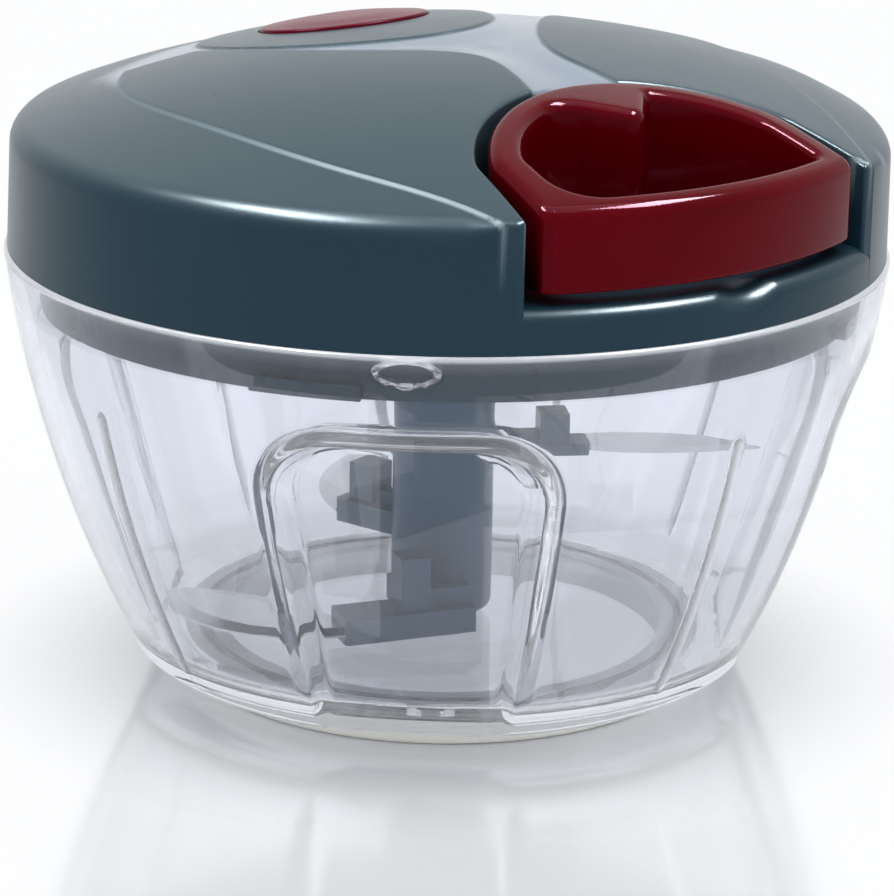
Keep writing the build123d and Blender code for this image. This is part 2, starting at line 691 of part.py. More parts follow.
def make_spring():
    """Flat spiral recoil spring: half turns, each wider than the last, from the arbor to the case's wall."""
    start_r = arbor_r + spring_strip / 2 + run_clearance
    end_r = case_r - case_wall - spring_end_gap
    growth = (end_r - start_r) / (2 * spring_turns)
    halves = []
    for k in range(2 * spring_turns):
        side = 1 if k % 2 == 0 else -1
        start_x = side * (start_r + growth * k)
        end_x = -side * (start_r + growth * (k + 1))
        crest = ((start_x + end_x) / 2, side * abs(start_x - end_x) / 2)
        halves.append(ThreePointArc((start_x, 0), crest, (end_x, 0)))
    height = case_height - case_floor - drum_gap - spring_top_gap
    return Pos(0, 0, spring_low_z) * extrude(trace(halves, line_width=spring_strip), height)


def make_case():
    """Cup that holds the recoil spring, with three screw ears on the lid's base."""
    case = disc(case_r, base_top_z, case_top_z)
    for place in screw_places(case_ear_ring_r, case_ear_angles):
        case += place * disc(case_ear_r, base_top_z, base_top_z + 2 * case_floor)
    case -= disc(case_r - case_wall, base_top_z + case_floor, case_top_z + overrun)
    case -= disc(bush_flange_r + slip_clearance, base_top_z - overrun, case_top_z)
    for place in screw_places(case_ear_ring_r, case_ear_angles):
        case -= place * disc(screw_hole_r, base_top_z - overrun, case_top_z)
    return case


def make_spring_cover():
    """Disc that closes the spring's cup, open round the shaft."""
    return tube(case_r, arbor_r + slip_clearance, case_top_z, case_top_z + spring_cover_thick)


def make_bush():
    """Flanged bush of the shaft, pressed in the base's hub."""
    bush = tube(bush_r, bush_bore_r, hub_low_z, base_top_z)
    return bush + tube(bush_flange_r, bush_bore_r, hub_low_z - bush_flange, hub_low_z)


def make_top_bush():
    """Plain bush of the shaft's upper end, pressed in the cover's boss."""
    return tube(top_bush_r, top_bush_bore_r, top_boss_low_z, top_boss_low_z + top_journal_length)


# Handle
def handle_plan(inset):
    """Plan of the handle along +X: rounded inner end, front concentric with the lid, moved in by an inset."""
    corner_u = notch_corner_u + (handle_gap + inset) / 2
    corner_v = notch_corner_v - handle_side_gap - inset
    mouth_u = handle_outer_r + overrun
    mouth_v = corner_v + (mouth_u - corner_u) * tan(radians(handle_flare))
    inner = ThreePointArc((corner_u, corner_v), (handle_inner_u + inset, 0), (corner_u, -corner_v))
    sides = Polyline((corner_u, -corner_v), (mouth_u, -mouth_v), (mouth_u, mouth_v), (corner_u, corner_v))
    face = make_face([inner, sides])
    face = fillet(face.vertices().sort_by(Axis.X)[:2], handle_corner_round - inset / 2)
    face = face & Circle(handle_outer_r - inset)
    return fillet(face.vertices().sort_by(Axis.X)[-2:], handle_front_round)


def make_handle():
    """Looped pull handle: open finger loop, humped inner wall with the cord's seat, rounded top edge."""
    hump = Polygon((handle_inner_u, hump_v + hump_half_width), (handle_inner_u, hump_v - hump_half_width),
                   (handle_inner_u + hump_reach, hump_v), align=None)
    hump = fillet(hump.vertices().sort_by(Axis.X)[-1:], hump_round)
    ring = handle_plan(0) - (handle_plan(handle_wall) - hump)
    crown = Pos(0, 0, dome_centre_z) * Sphere(dome_r + panel_step + handle_proud)
    handle = prism(ring, handle_low_z, lid_top_z + overrun) & crown
    handle = fillet(handle.faces().sort_by(Axis.Z)[-1].edges(), handle_wall * handle_round_share)
    handle = turned(handle_bearing, handle)
    handle += along_cord(seat_u + slip_clearance / 2, handle_gap + handle_wall / 2, spigot_r)
    handle -= along_cord(eyelet_u - overrun, 2 * overrun, eyelet_bore_r)
    return handle - along_cord(ferrule_u, overrun, ferrule_r)


def make_ferrule():
    """Crimped ferrule on the cord's end, in its seat in the handle."""
    body = along_cord(ferrule_u, ferrule_length, ferrule_r)
    return body - along_cord(ferrule_u - overrun, 2 * overrun, cord_d / 2)


def make_lead():
    """Straight cord from the winding through the eyelet to the ferrule's end."""
    start_u = sqrt(winding_r ** 2 - drum_core_r ** 2)
    return along_cord(start_u, ferrule_u + ferrule_length - start_u, cord_d / 2)


def make_eyelet():
    """Smooth eyelet that the cord leaves the lid through."""
    body = along_cord(eyelet_u - eyelet_length, eyelet_length + eyelet_flange, eyelet_r)
    body += along_cord(eyelet_u, eyelet_flange, eyelet_flange_r)
    return body - along_cord(eyelet_u - overrun, 2 * overrun, eyelet_bore_r)


case_head_z = base_top_z + 2 * case_floor
blades = {name: make_blade(name) for name in blade_table}
pieces = {
    "bowl": make_bowl(),
    "foot_ring": make_foot_ring(),
    "pivot_pin": make_pin(),
    "blade_stem": make_stem(list(blades.values())),
    **blades,
    "lid_cover": make_cover(),
    "badge_plate": make_badge(),
    "lid_base": make_base(),
    "base_screws": screw_set(screw_boss_ring_r, screw_boss_angles, plate_low_z, screw_length, upwards=True),
    "spring_case": make_case(),
    "spring_cover": make_spring_cover(),
    "case_screws": screw_set(case_ear_ring_r, case_ear_angles, case_head_z, case_screw_length, upwards=False),
    "shaft_bush": make_bush(),
    "top_bush": make_top_bush(),
    "cord_eyelet": make_eyelet(),
    "recoil_spring": make_spring(),
    "drive_shaft": make_shaft(),
    "cord_drum": make_drum(),
    "cord_winding": make_winding(),
    "pull_handle": make_handle(),
    "cord_ferrule": make_ferrule(),
    "cord_lead": make_lead(),
}
for name, shape in pieces.items():
    save(name, shape)
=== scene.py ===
"""Pull-cord food chopper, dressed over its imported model: clear bowl, grey domed lid, red looped handle.

Shapes are worked out in millimetres and written in metres. +Z is up and the front is -Y. Along the handle's axis,
u runs outwards and v runs to its left, as in the part's source.
"""

import bmesh
import bpy
import numpy as np
from mathutils import Matrix, Vector, geometry


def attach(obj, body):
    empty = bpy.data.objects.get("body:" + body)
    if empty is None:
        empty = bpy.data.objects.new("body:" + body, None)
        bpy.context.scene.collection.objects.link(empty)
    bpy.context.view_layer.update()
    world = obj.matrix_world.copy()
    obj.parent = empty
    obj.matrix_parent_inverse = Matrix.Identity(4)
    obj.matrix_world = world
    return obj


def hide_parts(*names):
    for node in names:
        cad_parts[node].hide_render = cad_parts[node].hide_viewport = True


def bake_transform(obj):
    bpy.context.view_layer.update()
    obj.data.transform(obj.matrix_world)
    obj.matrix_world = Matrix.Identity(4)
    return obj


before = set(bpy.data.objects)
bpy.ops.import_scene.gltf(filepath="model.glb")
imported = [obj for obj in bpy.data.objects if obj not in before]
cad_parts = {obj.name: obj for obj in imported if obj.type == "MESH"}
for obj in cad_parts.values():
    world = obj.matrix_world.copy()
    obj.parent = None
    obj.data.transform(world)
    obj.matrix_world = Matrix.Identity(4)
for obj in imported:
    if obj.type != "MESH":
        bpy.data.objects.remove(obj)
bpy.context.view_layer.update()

MM = 0.001

# Sizes shared with the part's source: _r is a radius, _z a height, _u and _v lie along and across the handle's axis
rim_r = 61.0
rim_z = 60.8
bowl_wall = 2.2
floor_z = 6.8
floor_corner_r = 3.0
foot_corner_r = 44.2
foot_corner_z = 5.6
foot_flat_r = 40.5
underside_z = 3.0
pan_z = 4.6
ring_seat_r = 37.0
ring_rib_r = 34.1
wall_bulge = 2.58
arch_bearing = -4.7
arch_foot_reach = 41.4
arch_lean = 0.2837
arch_top_z = 48.5
arch_top_half = 18.0
arch_foot_half = 12.5
arch_corner_r = 9.5
lug_z = 58.0
lid_wall_r = 60.5
lid_top_z = 88.1
lid_wall_top_z = 76.0
lid_edge_round = 1.2
lid_wall = 1.9
lid_roof = 3.2
lid_floor_z = 63.9
ledge_z = 66.5

# The dome is a sphere through its top and the ring where its edge's rounding starts
dome_rise = lid_top_z - lid_wall_top_z - lid_edge_round
dome_r = (lid_wall_r ** 2 + dome_rise ** 2) / (2 * dome_rise)
dome_centre_z = lid_top_z - dome_r

# The cord runs parallel to the handle's axis
cord_z = 76.7
cord_v = 9.0
cord_r = 0.72
cord_start_u = 5.0
cord_end_u = 31.4
handle_turn = np.radians(38.7)
u_axis = np.array([np.sin(handle_turn), -np.cos(handle_turn)])
v_axis = np.array([np.cos(handle_turn), np.sin(handle_turn)])

# Bowl's detail: an arch's step is eased over these widths outside and inside its edge
arch_soft = (0.5, 1.9)
arch_soft_inside = (0.3, 2.6)
pan_hub_r = 5.0
pin_boss_r = 4.8
pin_boss_z = 7.7
pin_seat_r = 2.03
pin_seat_z = 3.45
ring_rib_half = 0.75
ring_rib_z = 1.45
rib_height = 0.7
rib_half = 1.15
rib_low_z = 8.9
rib_top_z = 45.1
lug_half = 4.3
lug_half_height = 1.75
lug_depth = 1.8

# Lid's detail
shoulder_round = 2.3
wall_draft = 0.6
rear_rise = 1.4
panel_step = 0.35
valley_depth = 0.5
badge_recess = 1.2
badge_rise = 0.75
badge_foot = 0.68
badge_u, badge_v, badge_half_u, badge_half_v = -27.2, 2.4, 10.5, 12.8

# Notch, before it is turned about the lid's axis; the mouth's ends on the rim are bearings in degrees
notch_turn = np.radians(-1.2)
notch_inner_u = 24.6
notch_corner_u = 39.4
notch_corner_v = 25.7
notch_mouth_u = 52.9
notch_flare = np.tan(np.radians(11.0))
near_mouth = -30.5
far_mouth = 28.9
ledge_span = (-34.7, 32.4)
dip_depth = 1.7
dip_reach = 5.6
dip_breadth = 19.0
dip_v = 1.0
cheek_round = 0.6
mouth_round = 0.5
notch_corner_round = 7.0

# Handle's ring and its finger hole; they turn with the notch
handle_outer_r = 59.2
handle_hole_r = 55.7
handle_low_z = 68.0
handle_crown = 0.9
handle_top_round = 1.5
handle_low_round = 0.6
handle_flare = np.tan(np.radians(5.8))
handle_inner_u = 25.9
handle_reach_u = 62.0
handle_corner_u = 40.2
handle_corner_v = 24.2
hole_inner_u = 29.8
hole_reach_u = 60.0
hole_corner_u = 41.8
hole_corner_v = 19.8
hump_top = (38.3, 2.4)

# Two distances along the cord; make_cord works out the points at them and does not use them
blend_start_u = 20.0
blend_end_u = 28.5

# Points nearer than this many metres are one point
weld_reach = 3e-6


# Shader maths
class Wire:
    """An output socket that can stand in a plain expression; each operator adds one Math node."""

    def __init__(self, finish, socket):
        self.finish = finish
        self.socket = socket

    def maths(self, operation, first, second):
        return self.finish.node("Math", {"operation": operation}, {0: first, 1: second})

    def __add__(self, other):
        return self.maths("ADD", self, other)

    def __sub__(self, other):
        return self.maths("SUBTRACT", self, other)

    def __rsub__(self, other):
        return self.maths("SUBTRACT", other, self)

    def __mul__(self, other):
        return self.maths("MULTIPLY", self, other)

    def larger(self, other):
        return self.maths("MAXIMUM", self, other)

    __radd__ = __add__
    __rmul__ = __mul__


class Finish:
    """A material or the world, and the one way its nodes are added: type, then settings, then sockets."""

    def __init__(self, owner):
        self.owner = owner
        owner.use_nodes = True
        self.tree = owner.node_tree
        self.tree.nodes.clear()

    def node(self, kind, settings=None, sockets=None, output=0):
        made = self.tree.nodes.new("ShaderNode" + kind)
        for name, value in (settings or {}).items():
            setattr(made, name, value)
        for key, value in (sockets or {}).items():
            if isinstance(value, Wire):
                self.tree.links.new(value.socket, made.inputs[key])
            else:
                made.inputs[key].default_value = value
        return Wire(self, made.outputs[output]) if made.outputs else made

    def noise(self, size, detail=2.0, stretch=(1.0, 1.0, 1.0)):
        """Soft noise from 0 to 1 whose cells are about so many millimetres across, drawn out along an axis."""
        spot = self.node("TexCoord", output="Object")
        scale = [1.0 / (size * s * MM) for s in stretch]
        spot = self.node("Mapping", None, {"Vector": spot, "Scale": scale})
        return self.node("TexNoise", None, {"Vector": spot, "Scale": 1.0, "Detail": detail})

    def shades(self, factor, first, second):
        """Colour that goes from the first to the second as the factor goes from 0 to 1."""
        return self.node("Mix", {"data_type": "RGBA"}, {0: factor, 6: first, 7: second}, output=2)

    def bump(self, height, depth, strength=1.0):
        """Surface relief so many millimetres deep."""
        return self.node("Bump", None, {"Height": height, "Distance": depth * MM, "Strength": strength})

    def end(self, shader, output="OutputMaterial"):
        """Closes the tree with its output node."""
        self.node(output, None, {"Surface": shader})
        return self.owner


def finish(name):
    return Finish(bpy.data.materials.new(name))


def seen(look):
    """1 for rays that come straight, mirrored or through glass to the camera, 0 for light that is scattered."""
    camera = look.node("LightPath", output="Is Camera Ray")
    glossy = look.node("LightPath", output="Is Glossy Ray")
    through = look.node("LightPath", output="Is Transmission Ray")
    return camera.larger(glossy).larger(through)


# Finishes
def clear_plastic():
    """Clear moulded plastic with a faint lavender tint and slow waves from the mould. On the rim and the ribs'
    crowns an opaque pale shader is mixed in, a painted highlight. A little light goes straight through, and all of
    it where it lights other pieces."""
    look = finish("clear_plastic")
    waves = look.noise(26.0, 1.0)
    rib = look.node("Attribute", {"attribute_name": "rib"}, output="Fac")
    body = look.node("BsdfPrincipled", None, {
        "Base Color": look.shades(waves, (0.86, 0.885, 0.945, 1.0), (0.91, 0.927, 0.968, 1.0)),
        "Roughness": 0.004 + waves * 0.014, "IOR": 1.46, "Transmission Weight": 1.0,
        "Normal": look.bump(waves, 0.25)})
    # painted highlight: an opaque pale shader mixed in on the ribs' crowns and the rim
    painted_highlight = look.node("BsdfPrincipled", None, {
        "Base Color": (0.86, 0.88, 0.93, 1.0), "Roughness": 0.35 + waves * 0.1, "IOR": 1.46})
    body = look.node("MixShader", None, {0: rib * 0.62, 1: body, 2: painted_highlight})
    shadow = look.node("LightPath", output="Is Shadow Ray")
    scattered = look.node("LightPath", output="Is Diffuse Ray")
    open_air = look.node("BsdfTransparent", None, {"Color": (0.95, 0.95, 0.97, 1.0)})
    through = (shadow.larger(scattered)).larger(0.1)
    return look.end(look.node("MixShader", None, {0: through, 1: body, 2: open_air}))


def lid_plastic(name, dark, light, rough, tint, raised=0.0, ior=1.42):
    """Moulded plastic: fine mould grain, slow drift of tone, gloss broken a little by handling. Where a piece marks
    its raised forms, they are duller than the polished valleys between them. Those valleys are painted much paler,
    a painted reflection; the forms' edges carry a painted highlight; and the top above the shoulder is painted
    lighter than the wall, painted light from above."""
    look = finish(name)
    drift = look.noise(34.0, 2.0)
    grain = look.noise(0.5, 2.0)
    wear = look.noise(7.0, 4.0)
    colour = look.shades(drift * 0.7 + grain * 0.3, dark, light)
    rough = rough + wear * 0.06 + grain * 0.02
    if raised:
        valley_sheen = look.node("Attribute", {"attribute_name": "valley_sheen"}, output="Fac")
        crest_highlight = look.node("Attribute", {"attribute_name": "crest_highlight"}, output="Fac")
        upper = look.node("Attribute", {"attribute_name": "upper"}, output="Fac")
        # painted light: above the shoulder the colour goes much lighter than the wall's, as light from above would
        # show it
        colour = look.shades(upper * 0.9, colour, (0.038, 0.066, 0.082, 1.0))
        # painted reflection: the valleys between the raised forms are painted much paler
        colour = look.shades(valley_sheen * 0.8, colour, (0.3, 0.35, 0.42, 1.0))
        # painted highlight: a lighter line along the raised forms' edges
        colour = look.shades(crest_highlight * 0.35, colour, (0.3, 0.37, 0.4, 1.0))
        rough = rough + (1 - valley_sheen) * raised + crest_highlight * 0.2
    body = look.node("BsdfPrincipled", None, {
        "Base Color": colour, "Roughness": rough, "IOR": ior, "Specular Tint": tint,
        "Normal": look.bump(grain, 0.01)})
    return look.end(body)


def handle_gloss():
    """Deep red gloss plastic with faint flow waves, and painted shade that makes its flanks, which lie in the
    notch's shade, almost black.
    """
    look = finish("handle_red")
    flow = look.noise(18.0, 2.0, (1.0, 1.0, 0.5))
    fine = look.noise(1.2, 3.0)
    flank_shade = look.node("Attribute", {"attribute_name": "flank_shade"}, output="Fac")
    colour = look.shades(flow, (0.075, 0.0, 0.001, 1.0), (0.12, 0.0, 0.004, 1.0))
    body = look.node("BsdfPrincipled", None, {
        # painted shade: the flanks go almost black
        "Base Color": look.shades(flank_shade * 0.9, colour, (0.008, 0.0, 0.0, 1.0)),
        "Roughness": 0.07 + fine * 0.05, "IOR": 1.19, "Specular Tint": (1.0, 0.46, 0.64, 1.0),
        "Normal": look.bump(flow, 0.05)})
    return look.end(body)


def rubber():
    """Cream rubber: matt, with a fine grain and a few darker scuffs."""
    look = finish("cream_rubber")
    grain = look.noise(0.35, 3.0)
    scuff = look.noise(9.0, 5.0)
    body = look.node("BsdfPrincipled", None, {
        "Base Color": look.shades(scuff, (0.8, 0.79, 0.71, 1.0), (0.87, 0.86, 0.79, 1.0)),
        "Roughness": 0.5 + grain * 0.16, "IOR": 1.45, "Specular IOR Level": 0.35,
        "Normal": look.bump(grain, 0.02)})
    return look.end(body)


def metal(name, dark, light, rough, size, stretch, depth):
    """Bare metal whose fine marks run the way it was ground or turned."""
    look = finish(name)
    marks = look.noise(size, 3.0, stretch)
    tone = look.noise(11.0, 2.0)
    body = look.node("BsdfPrincipled", None, {
        "Base Color": look.shades(tone * 0.5 + marks * 0.5, dark, light), "Metallic": 1.0,
        "Roughness": rough + marks * 0.14, "Normal": look.bump(marks, depth)})
    return look.end(body)


def braid():
    """White cord: pale yarn whose tone goes a little greyer at random, in fine and coarse patches."""
    look = finish("cord_white")
    yarn = look.noise(0.3, 3.0)
    soil = look.noise(3.5, 3.0)
    body = look.node("BsdfPrincipled", None, {
        "Base Color": look.shades(yarn * 0.6 + soil * 0.4, (0.62, 0.6, 0.56, 1.0), (0.86, 0.85, 0.82, 1.0)),
        "Roughness": 0.7 + yarn * 0.2, "IOR": 1.45, "Specular IOR Level": 0.3, "Normal": look.bump(yarn, 0.05)})
    return look.end(body)


finishes = {
    "clear_plastic": clear_plastic(),
    "cream_rubber": rubber(),
    "lid_grey": lid_plastic("lid_grey", (0.006, 0.026, 0.042, 1.0), (0.014, 0.038, 0.056, 1.0), 0.13,
                            (0.75, 0.92, 1.0, 1.0), 0.12, 1.31),
    "skirt_grey": lid_plastic("skirt_grey", (0.004, 0.02, 0.037, 1.0), (0.008, 0.028, 0.048, 1.0), 0.24,
                              (0.6, 0.88, 1.0, 1.0), ior=1.34),
    "slate_plastic": lid_plastic("slate_plastic", (0.045, 0.09, 0.135, 1.0), (0.07, 0.12, 0.17, 1.0), 0.26,
                                 (0.6, 0.85, 1.0, 1.0)),
    "white_plastic": lid_plastic("white_plastic", (0.62, 0.62, 0.6, 1.0), (0.72, 0.72, 0.7, 1.0), 0.3,
                                 (1.0, 1.0, 1.0, 1.0)),
    "badge_red": lid_plastic("badge_red", (0.1, 0.002, 0.01, 1.0), (0.15, 0.006, 0.02, 1.0), 0.2,
                             (0.9, 0.5, 0.62, 1.0), ior=1.13),
    "handle_red": handle_gloss(),
    "steel": metal("steel", (0.5, 0.51, 0.52, 1.0), (0.64, 0.65, 0.66, 1.0), 0.18, 0.4, (1.0, 1.0, 0.12), 0.01),
    "blade_steel": metal("blade_steel", (0.52, 0.53, 0.54, 1.0), (0.68, 0.69, 0.7, 1.0), 0.14, 0.3,
                         (8.0, 1.0, 1.0), 0.008),
    "spring_steel": metal("spring_steel", (0.16, 0.2, 0.28, 1.0), (0.3, 0.33, 0.38, 1.0), 0.22, 0.5,
                          (6.0, 6.0, 0.5), 0.01),
    "cord_white": braid(),
}


# Surfaces
def eased(value, low, high):
    """Smooth step: 0 up to low, 1 from high, and 3t^2 - 2t^3 between them; low may be the larger."""
    t = np.clip((value - low) / (high - low), 0.0, 1.0)
    return t * t * (3.0 - 2.0 * t)


def dome_z(u, v, lift=0.0):
    """Height of the lid's dome: a sphere about a point low on the axis, its radius grown by a lift, and fuller at
    the rear, less so on its left."""
    x, y = u * u_axis[0] + v * v_axis[0], u * u_axis[1] + v * v_axis[1]
    rear = eased(0.25 * x + y, -3.0, 42.0) * (1 - 0.5 * eased(-x, 12.0, 34.0))
    rear = rear * (1 - eased(np.hypot(u, v), 52.0, 61.0))
    return dome_centre_z + np.sqrt((dome_r + lift) ** 2 - u ** 2 - v ** 2) + rear_rise * rear


def net(points, around=True, closed_rows=False):
    """Quads between neighbouring rows and columns of an array of points, closed round each row if asked."""
    rows, columns = points.shape[:2]
    index = np.arange(rows * columns).reshape(rows, columns)
    if around:
        index = np.concatenate([index, index[:, :1]], axis=1)
    if closed_rows:
        index = np.concatenate([index, index[:1]], axis=0)
    quads = np.stack([index[:-1, :-1], index[:-1, 1:], index[1:, 1:], index[1:, :-1]], axis=-1)
    return points.reshape(-1, 3), quads.reshape(-1, 4)


def placed(u, v, z):
    """Points given along the handle's axis, turned into their place."""
    u, v, z = np.broadcast_arrays(u, v, z)
    x = u * u_axis[0] + v * v_axis[0]
    y = u * u_axis[1] + v * v_axis[1]
    return np.stack([x, y, z], axis=-1)


def plan_of(points):
    """Distances of points along and across the handle's axis."""
    return np.stack([points[:, :2] @ u_axis, points[:, :2] @ v_axis], axis=1)


def lathe(profile, count, centre=(0.0, 0.0)):
    """A closed section of (radius, height) points carried round an upright axis."""
    turn = np.linspace(0.0, 2 * np.pi, count, endpoint=False)
    r, z = np.array(profile)[:, :1], np.array(profile)[:, 1:]
    ring = np.stack([centre[0] + r * np.cos(turn), centre[1] + r * np.sin(turn), z + 0 * turn], axis=-1)
    return net(ring, closed_rows=True)


def make_piece(name, patches, look, body, nodes, crease=40.0, marks=None):
    """Joins patches into one closed mesh, welds their seams, turns faces outwards, hangs it on its body and hides
    the imported nodes it stands in for.

    Marks are values from 0 to 1 that the finish reads by name, each given by a function of the points.
    """
    points = np.concatenate([p for p, _ in patches]) * MM
    starts = np.cumsum([0] + [len(p) for p, _ in patches[:-1]])
    sizes = np.concatenate([np.full(len(f), f.shape[1]) for _, f in patches])
    corners = np.concatenate([(f + s).ravel() for (_, f), s in zip(patches, starts)])
    mesh = bpy.data.meshes.new(name)
    mesh.vertices.add(len(points))
    mesh.vertices.foreach_set("co", points.ravel())
    mesh.loops.add(len(corners))
    mesh.loops.foreach_set("vertex_index", corners.astype(np.int32))
    mesh.polygons.add(len(sizes))
    mesh.polygons.foreach_set("loop_start", np.concatenate([[0], np.cumsum(sizes)[:-1]]).astype(np.int32))
    mesh.update(calc_edges=True)
    for key, rule in (marks or {}).items():
        value = mesh.attributes.new(key, "FLOAT", "POINT")
        value.data.foreach_set("value", rule(points / MM).astype(np.float32))
    work = bmesh.new()
    work.from_mesh(mesh)
    bmesh.ops.remove_doubles(work, verts=work.verts, dist=weld_reach)
    bmesh.ops.dissolve_degenerate(work, edges=work.edges, dist=1e-7)
    bmesh.ops.holes_fill(work, edges=[edge for edge in work.edges if edge.is_boundary], sides=12)
    bmesh.ops.recalc_face_normals(work, faces=work.faces)
    open_edges = sum(1 for edge in work.edges if len(edge.link_faces) != 2)
    work.to_mesh(mesh)
    work.free()
    mesh.polygons.foreach_set("use_smooth", np.ones(len(mesh.polygons), dtype=bool))
    mesh.set_sharp_from_angle(angle=np.radians(crease))
    mesh.materials.append(finishes[look])
    piece = bpy.data.objects.new(name, mesh)
    bpy.context.collection.objects.link(piece)
    if body:
        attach(piece, body)
    if nodes:
        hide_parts(*nodes)
    print(name, "triangles", sum(len(p.vertices) - 2 for p in mesh.polygons), "open edges", open_edges)
    return piece


# Bowl
def wall_centre():
    """Centre and radius of the wall's arc, from its two ends and how far it swells off their chord."""
    run, rise = rim_r - foot_corner_r, rim_z - foot_corner_z
    chord = np.hypot(run, rise)
    r = (chord ** 2 / 4 + wall_bulge ** 2) / (2 * wall_bulge)
    back = (r - wall_bulge) / chord
    return (foot_corner_r + rim_r) / 2 - back * rise, (foot_corner_z + rim_z) / 2 + back * run, r


wall_ox, wall_oz, wall_arc_r = wall_centre()
lean_length = np.hypot(1.0, arch_lean)


def wall_r(z, inset):
    """Radius of the bowl's wall at a height: one large arc, moved inwards square to itself."""
    return wall_ox + np.sqrt((wall_arc_r - inset) ** 2 - (z - wall_oz) ** 2)


def pressed(turn, r, z, grow, soft_out, soft_in):
    """Wall pressed in by an arch: r goes to a leaning flat, inside a trapezium with two rounded top corners.

    The distance to the trapezium is the usual rounded-box distance, in the flat's own plane, and the step between
    wall and flat is eased over it from soft_out outside the edge to soft_in inside.
    """
    flat = (arch_foot_reach + arch_lean * (z - foot_corner_z) - grow * lean_length) / np.cos(turn)
    gap = np.maximum(r - flat, 0.0)
    high = (arch_top_z - foot_corner_z) * lean_length
    slope = (arch_top_half - arch_foot_half) / high
    up = (z - foot_corner_z) * lean_length + gap / 2 * arch_lean
    across = np.abs((r - gap / 2) * np.sin(turn))
    side = (across - arch_foot_half - slope * up) / np.hypot(1.0, slope) + arch_corner_r
    top = up - high + arch_corner_r
    edge = np.hypot(np.maximum(side, 0), np.maximum(top, 0)) + np.minimum(np.maximum(side, top), 0)
    edge = edge - arch_corner_r - grow
    return r - gap * eased(edge, soft_out, -soft_in)


def bowl_turns():
    """Angles round the axis from an arch's middle, closer together along the edges of the arches and the ribs."""
    half = np.concatenate([np.arange(0, 5.2, 0.4), np.arange(5.2, 12, 1.7), np.arange(12, 23.6, 0.4),
                           np.arange(23.6, 43, 2.15), np.arange(43, 45, 0.25)])
    sector = np.concatenate([half, [45.0], 90 - half[::-1]])[:-1]
    return np.radians(np.concatenate([sector + 90 * k for k in range(4)]))


def from_arch(turn):
    """Angle to the middle of the nearest of the four arches; the ribs stand half way between them."""
    return np.radians(np.abs((np.degrees(turn) + 45) % 90 - 45))


def beyond_rib(z):
    """How far a height lies below a rib's foot or above its top."""
    return np.maximum(np.maximum(rib_low_z - z, z - rib_top_z), 0.0)


def bowl_outside(near):
    """Radii and heights of the outer skin from the middle of the underside to just below the rim."""
    bend = np.radians(np.linspace(0, 90, 6))[:-1]
    corner = [(foot_flat_r + 3.7 * np.sin(a), underside_z + 2.6 * (1 - np.cos(a))) for a in bend]
    seat_z = pan_z + 0.02
    under = np.array([(0.0, underside_z), (pan_hub_r, underside_z), (pan_hub_r, seat_z),
                      (ring_rib_r - ring_rib_half, seat_z), (ring_rib_r - ring_rib_half, ring_rib_z),
                      (ring_rib_r + ring_rib_half, ring_rib_z), (ring_rib_r + ring_rib_half, seat_z),
                      (ring_seat_r, seat_z), (ring_seat_r, underside_z)] + corner)
    heights = np.concatenate([np.linspace(foot_corner_z, 38, 27)[:-1], np.linspace(38, 50, 35)[:-1],
                              np.linspace(50, 59.9, 7)])
    z = heights[:, None]
    plain_r = wall_r(z, 0.0)
    r = pressed(near, plain_r + 0 * near, z, 0.0, *arch_soft)
    from_line = np.hypot(plain_r * np.sin(np.pi / 4 - near), beyond_rib(z))
    r = r + rib_height * eased(from_line, rib_half, rib_half - 1.0)
    low_r = pressed(near, under[:, :1] + 0 * near, under[:, 1:], 0.0, *arch_soft)
    return np.concatenate([low_r, r]), np.concatenate([under[:, 1], heights])


def bowl_inside(near):
    """Radii and heights of the inner skin from just below the rim to the bottom of the pin's seat."""
    heights = np.concatenate([np.arange(60.2, 55.4, -0.35), np.linspace(55.4, 50, 5)[1:],
                              np.linspace(50, 38, 35)[1:], np.linspace(38, floor_z + floor_corner_r, 24)[1:]])
    z = heights[:, None]
    plain_r = wall_r(z, bowl_wall) + 0 * near
    r = pressed(near, plain_r, z, bowl_wall, *arch_soft_inside)
    lug = np.hypot(plain_r * np.sin(near) / lug_half, (z - lug_z) / lug_half_height)
    r = r - lug_depth * eased(lug, 1.12, 0.72)
    start_z = floor_z + floor_corner_r
    flat_r = foot_flat_r - floor_corner_r
    reach = wall_r(start_z, bowl_wall) - flat_r
    bend = np.radians(np.linspace(0, 90, 6))[1:]
    floor = np.array([(flat_r + reach * np.cos(a), start_z - floor_corner_r * np.sin(a)) for a in bend] + [
        (30.0, floor_z), (18.0, floor_z), (pan_hub_r, floor_z), (pin_boss_r, pin_boss_z), (pin_seat_r, pin_boss_z),
        (pin_seat_r, pin_seat_z), (0.0, pin_seat_z)])
    floor_r = pressed(near, floor[:, :1] + 0 * near, floor[:, 1:], bowl_wall, *arch_soft_inside)
    return np.concatenate([r, floor_r]), np.concatenate([heights, floor[:, 1]])


def rib_and_rim_highlight_mark(points):
    """1 on the ribs' crowns and on the rim, where a painted highlight makes the plastic paler."""
    r, z = np.hypot(points[:, 0], points[:, 1]), points[:, 2]
    turn = np.arctan2(points[:, 1], points[:, 0]) + np.radians(90 - arch_bearing)
    across = r * np.sin(np.pi / 4 - from_arch(turn))
    outside = r > wall_r(np.clip(z, 6, 60), 0.0) - 0.1
    rib = eased(np.hypot(across, beyond_rib(z)), 1.0, 0.3) * outside
    return np.maximum(rib, eased(z, 59.8, 60.2) * (r > 58.6))


